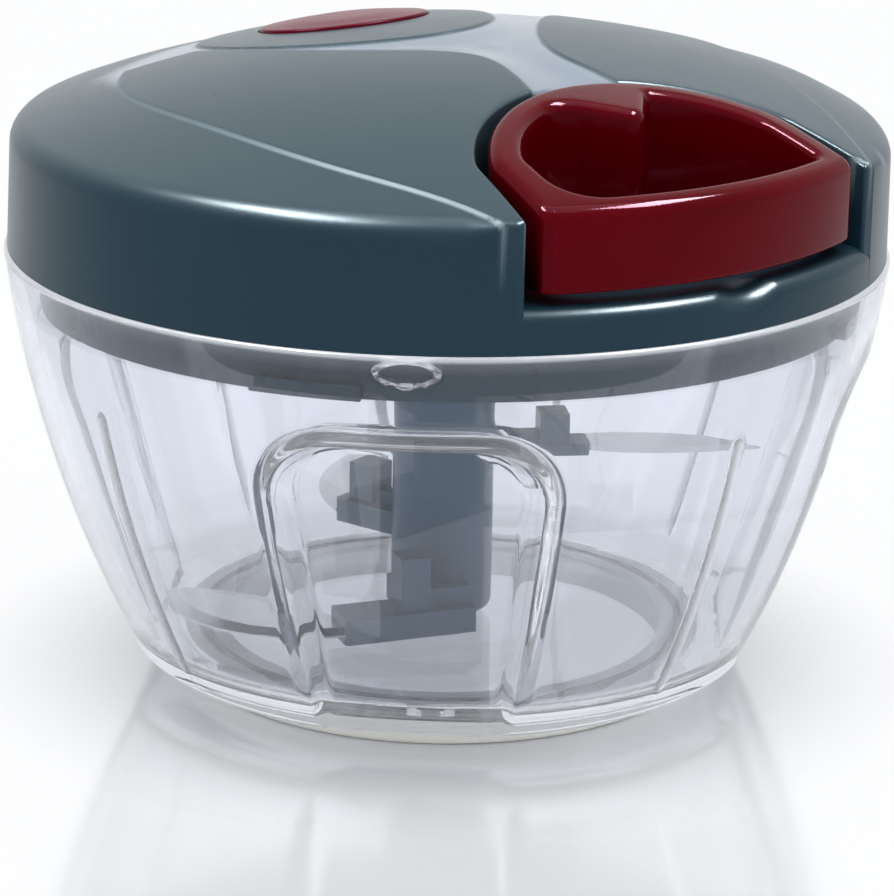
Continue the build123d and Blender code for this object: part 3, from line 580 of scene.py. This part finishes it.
def make_bowl():
    """Bowl as one skin over the turn round the axis and a section that runs from its underside, over the rim, to
    its inner floor. The radius is the wall's arc, pressed in by four arches, with ribs outside and lugs inside."""
    turn = bowl_turns()[None, :]
    near = from_arch(turn)
    outer_r, outer_z = bowl_outside(near)
    inner_r, inner_z = bowl_inside(near)
    rim = np.array([(rim_r - 0.05, 60.3), (rim_r - 0.2, 60.65), (rim_r - 0.6, 60.77),
                    (rim_r - bowl_wall + 0.5, 60.77), (rim_r - bowl_wall + 0.15, 60.6)])
    radii = np.concatenate([outer_r, rim[:, :1] + 0 * near, inner_r])
    z = np.concatenate([outer_z, rim[:, 1], inner_z])[:, None]
    way = turn + np.radians(arch_bearing - 90)
    skin = np.stack([radii * np.cos(way), radii * np.sin(way), z + 0 * way], axis=-1)
    make_piece("clear_bowl", [net(skin)], "clear_plastic", "bowl", ["bowl"], crease=62.0,
               marks={"rib": rib_and_rim_highlight_mark})


# Plans, along the handle's axis
def arc(centre_u, r, start, end):
    """Points a tenth of a millimetre apart along an arc about a point on the handle's axis, angles in degrees."""
    turn = np.radians(np.linspace(start, end, int(abs(np.radians(end - start)) * r / 0.1) + 2))
    return np.stack([centre_u + r * np.cos(turn), r * np.sin(turn)], axis=1)


def line(start, end):
    """Points a tenth of a millimetre apart along a straight line."""
    start, end = np.array(start), np.array(end)
    share = np.linspace(0.0, 1.0, int(np.linalg.norm(end - start) / 0.1) + 2)[:, None]
    return start + share * (end - start)


def through_corners(inner_u, corner_u, corner_v):
    """Centre and radius of the arc through two corners and a point on the axis between them."""
    depth = corner_u - inner_u
    r = (depth ** 2 + corner_v ** 2) / (2 * depth)
    return inner_u + r, r, np.degrees(np.arctan2(corner_v, corner_u - inner_u - r))


def rounded(first, second, r, side):
    """Joins two curves by an arc tangent to both: its centre is where their offsets by r to one side meet."""
    def shifted(path):
        along = np.gradient(path, axis=0)
        along /= np.linalg.norm(along, axis=1)[:, None]
        return path + side * r * np.stack([-along[:, 1], along[:, 0]], axis=1)

    a, b = shifted(first), shifted(second)
    gap = np.hypot(a[:, None, 0] - b[None, :, 0], a[:, None, 1] - b[None, :, 1])
    i, j = np.unravel_index(gap.argmin(), gap.shape)
    centre = (a[i] + b[j]) / 2
    start, end = first[i] - centre, second[j] - centre
    turn = np.arctan2(start[0] * end[1] - start[1] * end[0], start @ end) * np.linspace(0.0, 1.0, 40)
    u = centre[0] + start[0] * np.cos(turn) - start[1] * np.sin(turn)
    v = centre[1] + start[0] * np.sin(turn) + start[1] * np.cos(turn)
    return np.concatenate([first[:i], np.stack([u, v], axis=1), second[j + 1:]])


def spaced(loop, step, degrees):
    """Points round a closed loop, at most a step apart and at most so many degrees of turn apart."""
    leg = np.roll(loop, -1, axis=0) - loop
    loop = loop[np.hypot(*leg.T) > 1e-6]
    leg = np.roll(loop, -1, axis=0) - loop
    way = np.arctan2(leg[:, 1], leg[:, 0])
    bend = np.abs((way - np.roll(way, 1) + np.pi) % (2 * np.pi) - np.pi)
    weight = np.hypot(*leg.T) / step + (bend + np.roll(bend, -1)) / 2 / np.radians(degrees)
    measure = np.concatenate([[0.0], np.cumsum(weight)])
    closed = np.concatenate([loop, loop[:1]])
    at = np.linspace(0.0, measure[-1], int(measure[-1]) + 1, endpoint=False)
    return np.stack([np.interp(at, measure, closed[:, 0]), np.interp(at, measure, closed[:, 1])], axis=1)


def smooth_curve(points, closed=False):
    """Cubic curve through plan points with chord-length knots and straight ends, or closed on itself."""
    points = np.array(points) * lid_wall_r
    count = len(points)
    if closed:
        points = np.concatenate([points[-3:], points, points[:3]])
    span = np.hypot(*np.diff(points, axis=0).T)
    knot = np.concatenate([[0.0], np.cumsum(span)])
    matrix = np.diag(np.concatenate([[1.0], 2 * (span[:-1] + span[1:]), [1.0]]))
    matrix += np.diag(np.append(span[:-1], 0.0), -1) + np.diag(np.insert(span[1:], 0, 0.0), 1)
    force = np.zeros_like(points)
    force[1:-1] = 6 * np.diff(np.diff(points, axis=0) / span[:, None], axis=0)
    bend = np.linalg.solve(matrix, force)
    at = np.linspace(knot[3], knot[3 + count], 400)[:-1] if closed else np.linspace(0.0, knot[-1], 240)
    cell = np.clip(np.searchsorted(knot, at, side="right") - 1, 0, len(span) - 1)
    h, a, b = span[cell][:, None], (knot[cell + 1] - at)[:, None], (at - knot[cell])[:, None]
    ends = (points[cell] / h - bend[cell] * h / 6) * a + (points[cell + 1] / h - bend[cell + 1] * h / 6) * b
    return ends + (bend[cell] * a ** 3 + bend[cell + 1] * b ** 3) / (6 * h)


def loop_distance(points, loop):
    """Distance from plan points to a closed loop, negative inside: nearest leg, and the count of ray crossings."""
    end = np.roll(loop, -1, axis=0)
    leg = end - loop
    found = []
    for part in np.array_split(points, len(points) // 1000 + 1):
        away = part[:, None] - loop[None]
        share = np.clip((away * leg).sum(axis=2) / (leg ** 2).sum(axis=1), 0.0, 1.0)
        near = np.linalg.norm(away - share[..., None] * leg, axis=2).min(axis=1)
        v = part[:, 1:2]
        spans = (loop[None, :, 1] > v) != (end[None, :, 1] > v)
        rise = np.where(np.abs(leg[:, 1]) < 1e-12, 1e-12, leg[:, 1])
        cross = spans & (part[:, :1] < loop[:, 0] + (v - loop[:, 1]) * leg[:, 0] / rise)
        found.append(np.where(cross.sum(axis=1) % 2 == 1, -near, near))
    return np.concatenate(found)


def inwards(loop):
    """Unit vectors to the left of a closed loop, half way between the directions square to its two legs."""
    leg = np.roll(loop, -1, axis=0) - loop
    leg /= np.linalg.norm(leg, axis=1)[:, None]
    along = leg + np.roll(leg, 1, axis=0)
    along /= np.linalg.norm(along, axis=1)[:, None]
    return np.stack([-along[:, 1], along[:, 0]], axis=1)


def edge_rows(loop, r, height, down=False, steps=7):
    """Rounded edge along a loop: a quarter circle of radius r from the wall to a surface of a given height."""
    rows = []
    r = np.broadcast_to(r, len(loop))
    for turn in np.linspace(0.0, np.pi / 2, steps):
        plan = loop + inwards(loop) * (r * (1 - np.cos(turn)))[:, None]
        drop = r * (1 - np.sin(turn))
        rows.append((plan, height(plan[:, 0], plan[:, 1]) + (drop if down else -drop)))
    return rows


def wall_net(rows):
    """Wall over rows of (plan points, heights) that all follow one closed loop."""
    return net(np.stack([placed(plan[:, 0], plan[:, 1], z) for plan, z in rows]))


def cap(loops, extra, height):
    """Triangles that fill the plan between loops through extra points, each at a given height."""
    edge = np.concatenate(loops)
    joins = []
    for loop in loops:
        first = len(joins)
        joins += [(first + k, first + (k + 1) % len(loop)) for k in range(len(loop))]
    points = np.concatenate([edge, extra]) if len(extra) else edge
    solved = geometry.delaunay_2d_cdt([Vector(p) for p in points.tolist()], joins, [], 1, 1e-6)
    plan = np.array([tuple(p) for p in solved[0]])
    faces = np.array([f for f in solved[2] if len(f) == 3])
    middle = plan[faces].mean(axis=1)
    keep = loop_distance(middle, loops[0]) < 0
    for hole in loops[1:]:
        keep &= loop_distance(middle, hole) > 0
    return placed(plan[:, 0], plan[:, 1], height(plan[:, 0], plan[:, 1])), faces[keep]


def inner_points(loop, step, margin, fine=()):
    """Grid of plan points inside a loop, with finer points given first; none nearer to the loop than a margin."""
    low, high = loop.min(axis=0), loop.max(axis=0)
    u, v = np.meshgrid(np.arange(low[0], high[0], step), np.arange(low[1], high[1], step * 0.87))
    u = u + (np.arange(len(u)) % 2 * step / 2)[:, None]
    grid = np.stack([u.ravel(), v.ravel()], axis=1)
    if len(fine):
        cell = set(map(tuple, np.floor(fine / step).astype(int).tolist()))
        grid = grid[[tuple(c) not in cell for c in np.floor(grid / step).astype(int).tolist()]]
        first = np.unique(np.round(fine / 0.16).astype(int), axis=0, return_index=True)[1]
        grid = np.concatenate([fine[first], grid])
    return grid[loop_distance(grid, loop) < -margin]


def rod_patch(profile, count=48):
    """A closed section of (distance along the cord, radius) points carried round the cord's straight line."""
    turn = np.linspace(0.0, 2 * np.pi, count, endpoint=False)
    u, r = np.array(profile)[:, :1], np.array(profile)[:, 1:]
    return net(placed(u + 0 * turn, cord_v + r * np.cos(turn), cord_z + r * np.sin(turn)), closed_rows=True)


# Lid cover
front_panel = (
    ((-0.53, -0.53), (-0.39, -0.635), (0.04, -0.72), (0.50, -0.657), (0.70, -0.58), (0.80, -0.545), (0.90, -0.52)),
    ((0.44, -0.11), (0.29, -0.055), (0.15, -0.035), (-0.03, -0.18), (-0.19, -0.28), (-0.49, -0.355)),
)
back_panel = (
    ((0.88, 0.47), (0.63, 0.585), (0.28, 0.70), (-0.15, 0.74), (-0.36, 0.66)),
    ((-0.22, 0.46), (0.05, 0.22), (0.22, 0.14), (0.33, 0.13), (0.46, 0.12)),
)
badge_island = ((-0.60, -0.28), (-0.39, -0.322), (-0.20, -0.245), (-0.085, -0.05), (-0.11, 0.17), (-0.27, 0.34),
                (-0.58, 0.36))
raised_forms = [np.concatenate([smooth_curve(outer), smooth_curve(inner)]) for outer, inner in
                (front_panel, back_panel)]
raised_forms.append(smooth_curve(badge_island, closed=True))


def badge_distance(u, v, grow=0.0):
    """About how far a plan point lies outside the badge's oval, grown by a width."""
    half_u, half_v = badge_half_u + grow, badge_half_v + grow
    reach = np.hypot((u - badge_u) / half_u, (v - badge_v) / half_v)
    slope = np.hypot((u - badge_u) / half_u ** 2, (v - badge_v) / half_v ** 2) / np.maximum(reach, 1e-6)
    return (reach - 1.0) / np.maximum(slope, 1e-3)


def lid_top(u, v):
    """Lid's upper surface: the dome, plus a step up on the raised forms, less the hollow valleys between them and
    the badge's recess. The step follows the distance to the nearest form, and the valleys fade out at the rim."""
    plan = np.stack([u, v], axis=1)
    out = np.min([loop_distance(plan, form) for form in raised_forms], axis=0)
    height = dome_z(u, v) + panel_step * eased(out, 0.2, -0.35)
    height = height - valley_depth * eased(out, 0.2, 5.5) * (1 - eased(np.hypot(u, v), 22.0, 40.0))
    return height - badge_recess * eased(badge_distance(u, v), 0.12, -0.12)


def turned(plan):
    """Plan points turned about the lid's axis by the small angle between the notch and the cord."""
    u, v = plan[:, 0], plan[:, 1]
    cos, sin = np.cos(notch_turn), np.sin(notch_turn)
    return np.stack([u * cos - v * sin, u * sin + v * cos], axis=1)


def notch_curves(grow):
    """The notch's near side, inner arc and far side, in the order that leaves the lid's plastic on their left."""
    corner_u, corner_v = notch_corner_u - grow / 2, notch_corner_v + grow
    centre, r, turn = through_corners(notch_inner_u - grow, corner_u, corner_v)
    mouth_v = corner_v + (notch_mouth_u - corner_u) * notch_flare
    near_side = line((notch_mouth_u, -mouth_v), (corner_u, -corner_v))
    far_side = line((corner_u, corner_v), (notch_mouth_u, mouth_v))
    return turned(near_side), turned(arc(centre, r, 360 - turn, turn)), turned(far_side)


def lid_ceiling(u, v):
    """Height of the lid's inside: the dome, lower by the roof's thickness."""
    return dome_z(u, v) - lid_roof


def lid_outline():
    """Lid's plan: its rim, opened by the notch, with small roundings at the cheeks on both sides of the mouth."""
    near_side, inner, far_side = notch_curves(0.0)
    near_rim, far_rim = arc(0.0, lid_wall_r, -180, near_mouth), arc(0.0, lid_wall_r, far_mouth, 150)
    loop = rounded(near_rim, line(near_rim[-1], near_side[0]), cheek_round, 1)
    loop = rounded(loop, near_side, mouth_round, 1)
    loop = rounded(loop, inner, notch_corner_round, -1)
    loop = rounded(loop, far_side, notch_corner_round, -1)
    loop = rounded(loop, line(far_side[-1], far_rim[0]), mouth_round, 1)
    loop = rounded(loop, far_rim, cheek_round, 1)
    return spaced(np.concatenate([loop, arc(0.0, lid_wall_r, 150, 179.9)[1:]]), 0.4, 5.0)


def dome_patches():
    """Domed shell: its wall follows the plan loop, its top is a height over plan points that lie closer together
    along the relief, and its inside is the same loop one wall further in."""
    loop = lid_outline()
    on_rim = np.hypot(*loop.T) > lid_wall_r - 0.003
    way = np.degrees(np.abs(np.arctan2(loop[:, 1], loop[:, 0])))
    round_r = cheek_round + (shoulder_round - cheek_round) * eased(way, 31.8, 37.0) * on_rim
    drawn = loop + inwards(loop) * (wall_draft * eased(way, 30.0, 75.0) * on_rim)[:, None]
    low_z = np.where(on_rim, rim_z, ledge_z - 1.4)
    top = edge_rows(drawn, round_r, lid_top)
    wall = [(loop, low_z), ((loop + drawn) / 2, (low_z + top[0][1]) / 2)] + top
    thin = loop + inwards(loop) * lid_wall
    inside = [(loop, low_z), (thin, low_z), (thin, lid_ceiling(thin[:, 0], thin[:, 1]))]
    edge = top[-1][0]
    fine = []
    for form in raised_forms + [placed_oval(0.0)]:
        form = spaced(form, 0.75, 12.0)
        for shift in (-2.4, -1.5, -0.9, -0.5, -0.25, 0.0, 0.2, 0.45, 0.9, 1.5, 2.4):
            fine.append(form + inwards(form) * shift)
    fine = np.concatenate(fine)
    return [wall_net(wall), cap([edge], inner_points(edge, 1.7, 0.3, fine), lid_top), wall_net(inside),
            cap([thin], inner_points(thin, 5.0, 1.0), lid_ceiling)]


def ledge_top(u, v):
    """Height of the ledge under the handle: flat, with a finger dip at its front whose edge is eased."""
    dip = np.maximum(dip_depth - (lid_wall_r - u) * dip_depth / dip_reach - (v - dip_v) ** 2 / dip_breadth, 0.0)
    return ledge_z - dip ** 2 / (dip + 0.12)


def ledge_patches():
    """Ledge under the notch: a plate whose front edge is rounded and goes on down to the rim as a wall."""
    under = notch_curves(1.0)[1]
    front = arc(0.0, lid_wall_r - 0.02, *ledge_span)
    plan = np.concatenate([front, line(front[-1], under[-1])[1:], under[::-1][1:], line(under[0], front[0])[1:-1]])
    plan = spaced(plan, 0.7, 6.0)
    way = np.degrees(np.abs(np.arctan2(plan[:, 1], plan[:, 0])))
    limit = np.where(plan[:, 1] < 0, -near_mouth, far_mouth)
    at_front = eased(way, limit + 3.2, limit + 0.9) * (np.hypot(*plan.T) > lid_wall_r - 0.03)
    upper = edge_rows(plan, 0.3 + 1.9 * at_front, ledge_top, steps=9)
    plate_z = np.full(len(plan), lid_floor_z)
    front_z = lid_floor_z + (rim_z - lid_floor_z) * at_front
    back = plan + inwards(plan) * (0.05 + 1.85 * at_front)[:, None]
    skirt = [(back, plate_z), (back, front_z), (plan, front_z)] + upper
    edge = upper[-1][0]
    return [wall_net(skirt), cap([edge], inner_points(edge, 1.4, 0.5), ledge_top),
            cap([back], inner_points(back, 6.0, 1.0), lambda u, v: lid_floor_z + 0 * u)]


def boss_patches():
    """Turned tubes inside the lid: four for the screws, one for the top bush, and one along the cord."""
    tubes = []
    for turn in np.radians([75.0, 145.0, 215.0, 285.0]):
        place = placed(47.0 * np.cos(turn), 47.0 * np.sin(turn), 0.0)
        tubes.append(lathe([(1.4, 63.8), (3.8, 63.8), (3.8, 78.0), (1.4, 78.0)], 40, place[:2]))
    tubes.append(lathe([(3.76, 81.6), (6.5, 81.6), (6.5, 86.0), (3.76, 86.0)], 56))
    tubes.append(rod_patch([(21.1, 2.45), (21.1, 5.0), (25.4, 5.0), (25.4, 2.45)]))
    return tubes


def valley_sheen_mark(points):
    """1 in the polished valleys, where two raised forms are near each other, 0 on the forms and inside the lid;
    there the lid is glossier and painted much paler, a painted reflection.
    """
    plan = plan_of(points)
    out = np.sort([loop_distance(plan, form) for form in raised_forms], axis=0)
    between = eased(out[0] + out[1], 21.0, 13.0) * eased(out[0], -0.2, 0.5)
    return between * (points[:, 2] > dome_z(plan[:, 0], plan[:, 1]) - 1.6)


def crest_highlight_mark(points):
    """1 on the edge of a raised form, away from the valleys, where a painted highlight makes it lighter, and
    rougher.
    """
    plan = plan_of(points)
    out = np.sort([np.abs(loop_distance(plan, form)) for form in raised_forms], axis=0)
    edge = eased(out[0], 0.34, 0.12) * eased(out[0] + out[1], 9.0, 16.0)
    return edge * (points[:, 2] > dome_z(plan[:, 0], plan[:, 1]) - 1.0)


def top_light_mark(points):
    """1 above the lid's shoulder, where the lid is painted lighter than its wall: painted light from above."""
    return eased(points[:, 2], 76.2, 78.6)


def make_lid():
    """Lid cover: a domed shell whose plan has the notch, the ledge under the notch, and bosses inside."""
    patches = dome_patches() + ledge_patches() + boss_patches()
    make_piece("lid_shell", patches, "lid_grey", "lid", ["lid_cover"],
               marks={"valley_sheen": valley_sheen_mark, "crest_highlight": crest_highlight_mark, "upper": top_light_mark})


def placed_oval(grow):
    """The badge's outline in plan."""
    turn = np.linspace(0.0, 2 * np.pi, 300, endpoint=False)
    return np.stack([badge_u + (badge_half_u + grow) * np.cos(turn),
                     badge_v + (badge_half_v + grow) * np.sin(turn)], axis=1)


def make_badge():
    """Bare oval plate in the lid's recess: its outline with rounded edges under a crown parallel to the dome."""
    plan = spaced(placed_oval(-0.15), 0.5, 5.0)

    def crown(u, v):
        return dome_z(u, v) + badge_rise + 0.25 * eased(badge_distance(u, v), -0.5, -6.0)

    def foot(u, v):
        return dome_z(u, v) - badge_foot

    upper = edge_rows(plan, 0.35, crown, steps=6)
    edge = upper[-1][0]
    patches = [wall_net([(plan, foot(plan[:, 0], plan[:, 1]))] + upper),
               cap([edge], inner_points(edge, 1.2, 0.3), crown), cap([plan], inner_points(plan, 3.0, 0.5), foot)]
    make_piece("badge_oval", patches, "badge_red", "lid", ["badge_plate"])


# Handle
def handle_outline():
    """Handle's outer plan: a front arc, two flanks that open outwards, and an inner arc, joined by roundings."""
    centre, r, turn = through_corners(handle_inner_u, handle_corner_u, handle_corner_v)
    spread = (handle_reach_u - handle_corner_u) * handle_flare
    far_side = line((handle_reach_u, handle_corner_v + spread), (handle_corner_u, handle_corner_v))
    near_side = line((handle_corner_u, -handle_corner_v), (handle_reach_u, -handle_corner_v - 1.0 - spread))
    loop = rounded(arc(0.0, handle_outer_r, 5, 60), far_side, 1.8, 1)
    loop = rounded(loop, arc(centre, r, turn, 360 - turn), 8.0, 1)
    loop = rounded(loop, near_side, 6.5, 1)
    loop = rounded(loop, arc(0.0, handle_outer_r, -60, -5), 2.2, 1)
    return turned(spaced(np.concatenate([loop, arc(0.0, handle_outer_r, -5, 4.9)[1:]]), 0.7, 5.0))


def finger_outline():
    """Plan of the handle's finger hole, with the hump on its inner arc; it runs the other way round."""
    centre, r, turn = through_corners(hole_inner_u, hole_corner_u, hole_corner_v)
    spread = (hole_reach_u - hole_corner_u) * handle_flare
    far_side = line((hole_reach_u, hole_corner_v + spread), (hole_corner_u, hole_corner_v))
    near_side = line((hole_corner_u, -hole_corner_v), (hole_reach_u, -hole_corner_v - spread))
    loop = rounded(arc(0.0, handle_hole_r, 5, 60), far_side, 1.6, 1)
    loop = rounded(loop, arc(centre, r, turn, 181), 7.0, 1)
    loop = rounded(loop, line((handle_inner_u, 13.8), hump_top), 1.0, 1)
    loop = rounded(loop, line(hump_top, (handle_inner_u, -10.2)), 2.2, -1)
    loop = rounded(loop, arc(centre, r, 182, 360 - turn), 5.0, 1)
    loop = rounded(loop, near_side, 7.0, 1)
    loop = rounded(loop, arc(0.0, handle_hole_r, -60, -5), 6.5, 1)
    return turned(spaced(np.concatenate([loop, arc(0.0, handle_hole_r, -5, 4.9)[1:]])[::-1], 0.7, 5.0))


def make_handle():
    """Looped handle: a ring between two plan loops with a full round along its top, and a hump on its inner wall.

    Each loop's rows go up the wall and over a quarter circle; the crown is parallel to the lid's dome.
    """
    outer, hole = handle_outline(), finger_outline()

    def crown(u, v):
        return dome_z(u, v, handle_crown)

    def floor(u, v):
        return handle_low_z + 0 * u

    # Painted shade: 1 on the handle's outer flanks, below the top's rounding and off the front face, where the
    # finish paints them almost black
    def flank_shade_mark(points):
        plan = plan_of(points)
        top_z = crown(plan[:, 0], plan[:, 1])
        below = eased(points[:, 2], top_z - 1.2, top_z - 2.4)
        return below * eased(loop_distance(plan, outer), -0.5, -0.1) * eased(np.hypot(*plan.T), 58.8, 58.2)

    patches, tops, lows = [], [], []
    for loop in (outer, hole):
        upper = edge_rows(loop, handle_top_round, crown, steps=9)
        lower = edge_rows(loop, handle_low_round, floor, down=True, steps=5)
        patches.append(wall_net(lower[::-1] + upper))
        tops.append(upper[-1][0])
        lows.append(lower[-1][0])
    patches.append(cap(tops, inner_points(tops[0], 1.6, 0.3), crown))
    patches.append(cap(lows, np.zeros((0, 2)), floor))
    patches.append(rod_patch([(26.4, 1.3), (26.4, 2.9), (26.7, 3.2), (30.0, 3.2), (30.0, 1.3)]))
    make_piece("loop_handle", patches, "handle_red", "handle", ["pull_handle"],
               marks={"flank_shade": flank_shade_mark})


def make_cord():
    """Braided cord from the drum to the handle: a tube whose radius swells in two crossing sets of strands."""
    u = np.linspace(cord_start_u, cord_end_u, 150)[:, None]
    turn = np.linspace(0.0, 2 * np.pi, 40, endpoint=False)[None, :]
    strands = np.abs(np.sin(4 * turn + u * 2.1)) * np.abs(np.sin(4 * turn - u * 2.1))
    r = (cord_r + 0.08 * strands) * np.where((u == u.min()) | (u == u.max()), 0.0, 1.0)
    skin = net(placed(u + 0 * turn, cord_v + r * np.cos(turn), cord_z + r * np.sin(turn)))
    cord = make_piece("pull_cord", [skin], "cord_white", None, ["cord_lead"])
    start, end = placed(blend_start_u, cord_v, cord_z) * MM, placed(blend_end_u, cord_v, cord_z) * MM
    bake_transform(cord)


def make_eyelet():
    """Smooth eyelet that the cord runs through, its lip proud of the notch's wall."""
    profile = [(21.1, 1.3), (21.1, 2.4), (25.0, 2.4), (25.0, 3.4), (25.95, 3.4), (26.2, 3.25), (26.3, 2.9),
               (26.3, 1.9), (26.1, 1.5), (25.7, 1.3)]
    make_piece("smooth_eyelet", [rod_patch(profile)], "white_plastic", "lid", ["cord_eyelet"])


make_bowl()
make_lid()
make_badge()
make_handle()
make_cord()
make_eyelet()

for name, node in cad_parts.items():
    for slot in node.material_slots:
        slot.material = finishes["skirt_grey" if name == "lid_base" else slot.material.name.split(".")[0]]


# Studio
camera_tilt = np.radians(15.7)
camera_roll = np.radians(0.92)
camera_reach = 520.0
camera_centre_z = 45.0
camera_target = np.array([0.45, 0.0, 30.3])
focal_pixels = 3722.0
frame_pixels = 894.0


def make_camera():
    """Camera at the photograph's angle: a little above the table, rolled slightly, with a long lens."""
    tilt, roll = camera_tilt, camera_roll
    eye = np.array([0.0, -camera_reach * np.cos(tilt), camera_centre_z + camera_reach * np.sin(tilt)])
    ahead = camera_target - eye
    ahead /= np.linalg.norm(ahead)
    right = np.cross(ahead, [0, 0, 1.0])
    right /= np.linalg.norm(right)
    up = np.cross(right, ahead)
    right, up = np.cos(roll) * right + np.sin(roll) * up, np.cos(roll) * up - np.sin(roll) * right
    data = bpy.data.cameras.new("camera")
    data.sensor_fit = "HORIZONTAL"
    data.lens = focal_pixels / frame_pixels * data.sensor_width
    data.clip_start = 0.02
    camera = bpy.data.objects.new("camera", data)
    facing = Matrix(np.stack([right, up, -ahead], axis=1).tolist()).to_4x4()
    camera.matrix_world = Matrix.Translation(Vector((eye * MM).tolist())) @ facing
    bpy.context.collection.objects.link(camera)
    bpy.context.scene.camera = camera


def make_lamp(name, way, distance, wide, deep, watts, gleam=False):
    """Soft box at a distance from the lid, facing it. A gleam is a strip that only shows in glossy surfaces."""
    data = bpy.data.lights.new(name, "AREA")
    data.shape = "RECTANGLE"
    data.size, data.size_y = wide, deep
    data.energy = watts
    lamp = bpy.data.objects.new(name, data)
    way = Vector(way).normalized()
    lamp.location = way * distance + Vector((0, 0, 0.06))
    lamp.rotation_euler = way.to_track_quat("Z", "Y").to_euler()
    lamp.visible_diffuse = lamp.visible_transmission = not gleam
    bpy.context.collection.objects.link(lamp)


def floor_gloss():
    """Pale sheet that mirrors a little. It goes white a short way from the bowl, and close to the bowl it is a plain
    greyer surface that keeps the shadow, so the floor darkens towards the bowl: partly real shadow, partly painted
    shade."""
    look = finish("floor_gloss")
    drift = look.noise(60.0, 2.0)
    gloss = look.node("BsdfPrincipled", None, {
        "Base Color": (0.72, 0.735, 0.77, 1.0), "Roughness": 0.5 + drift * 0.1, "IOR": 1.4})
    glow = look.node("Emission", None, {"Color": (0.985, 0.99, 1.0, 1.0), "Strength": 1.0})
    spot = look.node("TexCoord", output="Object")
    away = look.node("VectorMath", {"operation": "LENGTH"}, {0: spot}, "Value")
    # painted shade: the glow fades out towards the bowl, so the grey sheet darkens the floor round it even where no
    # shadow falls
    away = look.node("MapRange", None, {0: away, 1: 0.04, 2: 0.07, 3: 0.0, 4: 0.95})
    first = look.node("LightPath", output="Is Camera Ray")
    share = (first * away).larger((seen(look) - first) * 0.55)
    sheet = look.node("MixShader", None, {0: share, 1: gloss, 2: glow})
    mirror = look.node("BsdfGlossy", None, {"Color": (1.0, 1.0, 1.0, 1.0), "Roughness": 0.1 + drift * 0.08})
    return look.end(look.node("MixShader", None, {0: first * 0.3, 1: sheet, 2: mirror}))


def make_floor():
    """Wide flat floor just under the foot ring."""
    span = np.linspace(-3000.0, 3000.0, 13)
    x, y = np.meshgrid(span, span)
    points, quads = net(np.stack([x, y, 0 * x - 0.02], axis=-1), around=False)
    mesh = bpy.data.meshes.new("studio_floor")
    mesh.from_pydata((points * MM).tolist(), [], quads.tolist())
    mesh.materials.append(floor_gloss())
    floor = bpy.data.objects.new("studio_floor", mesh)
    bpy.context.collection.objects.link(floor)


def make_studio():
    """Floor, a room that is white where it is seen or mirrored, two gleams over the lid and one soft lamp."""
    make_floor()
    world = Finish(bpy.data.worlds.new("room"))
    bpy.context.scene.world = world.owner
    lit = world.node("Background", None, {"Color": (0.97, 0.985, 1.0, 1.0), "Strength": 0.72})
    white = world.node("Background", None, {"Color": (0.985, 0.99, 1.0, 1.0), "Strength": 1.0})
    world.end(world.node("MixShader", None, {0: seen(world), 1: lit, 2: white}), "OutputWorld")
    make_lamp("left_softbox", (-0.44, -0.12, 0.89), 1.0, 0.46, 0.2, 38.0, gleam=True)
    make_lamp("right_softbox", (0.53, -0.03, 0.85), 1.0, 0.42, 0.22, 38.0, gleam=True)
    make_lamp("overhead_softbox", (0.0, -0.1, 1.0), 1.3, 1.3, 1.1, 14.0)
    bpy.context.scene.view_settings.view_transform = "Standard"


make_camera()
make_studio()
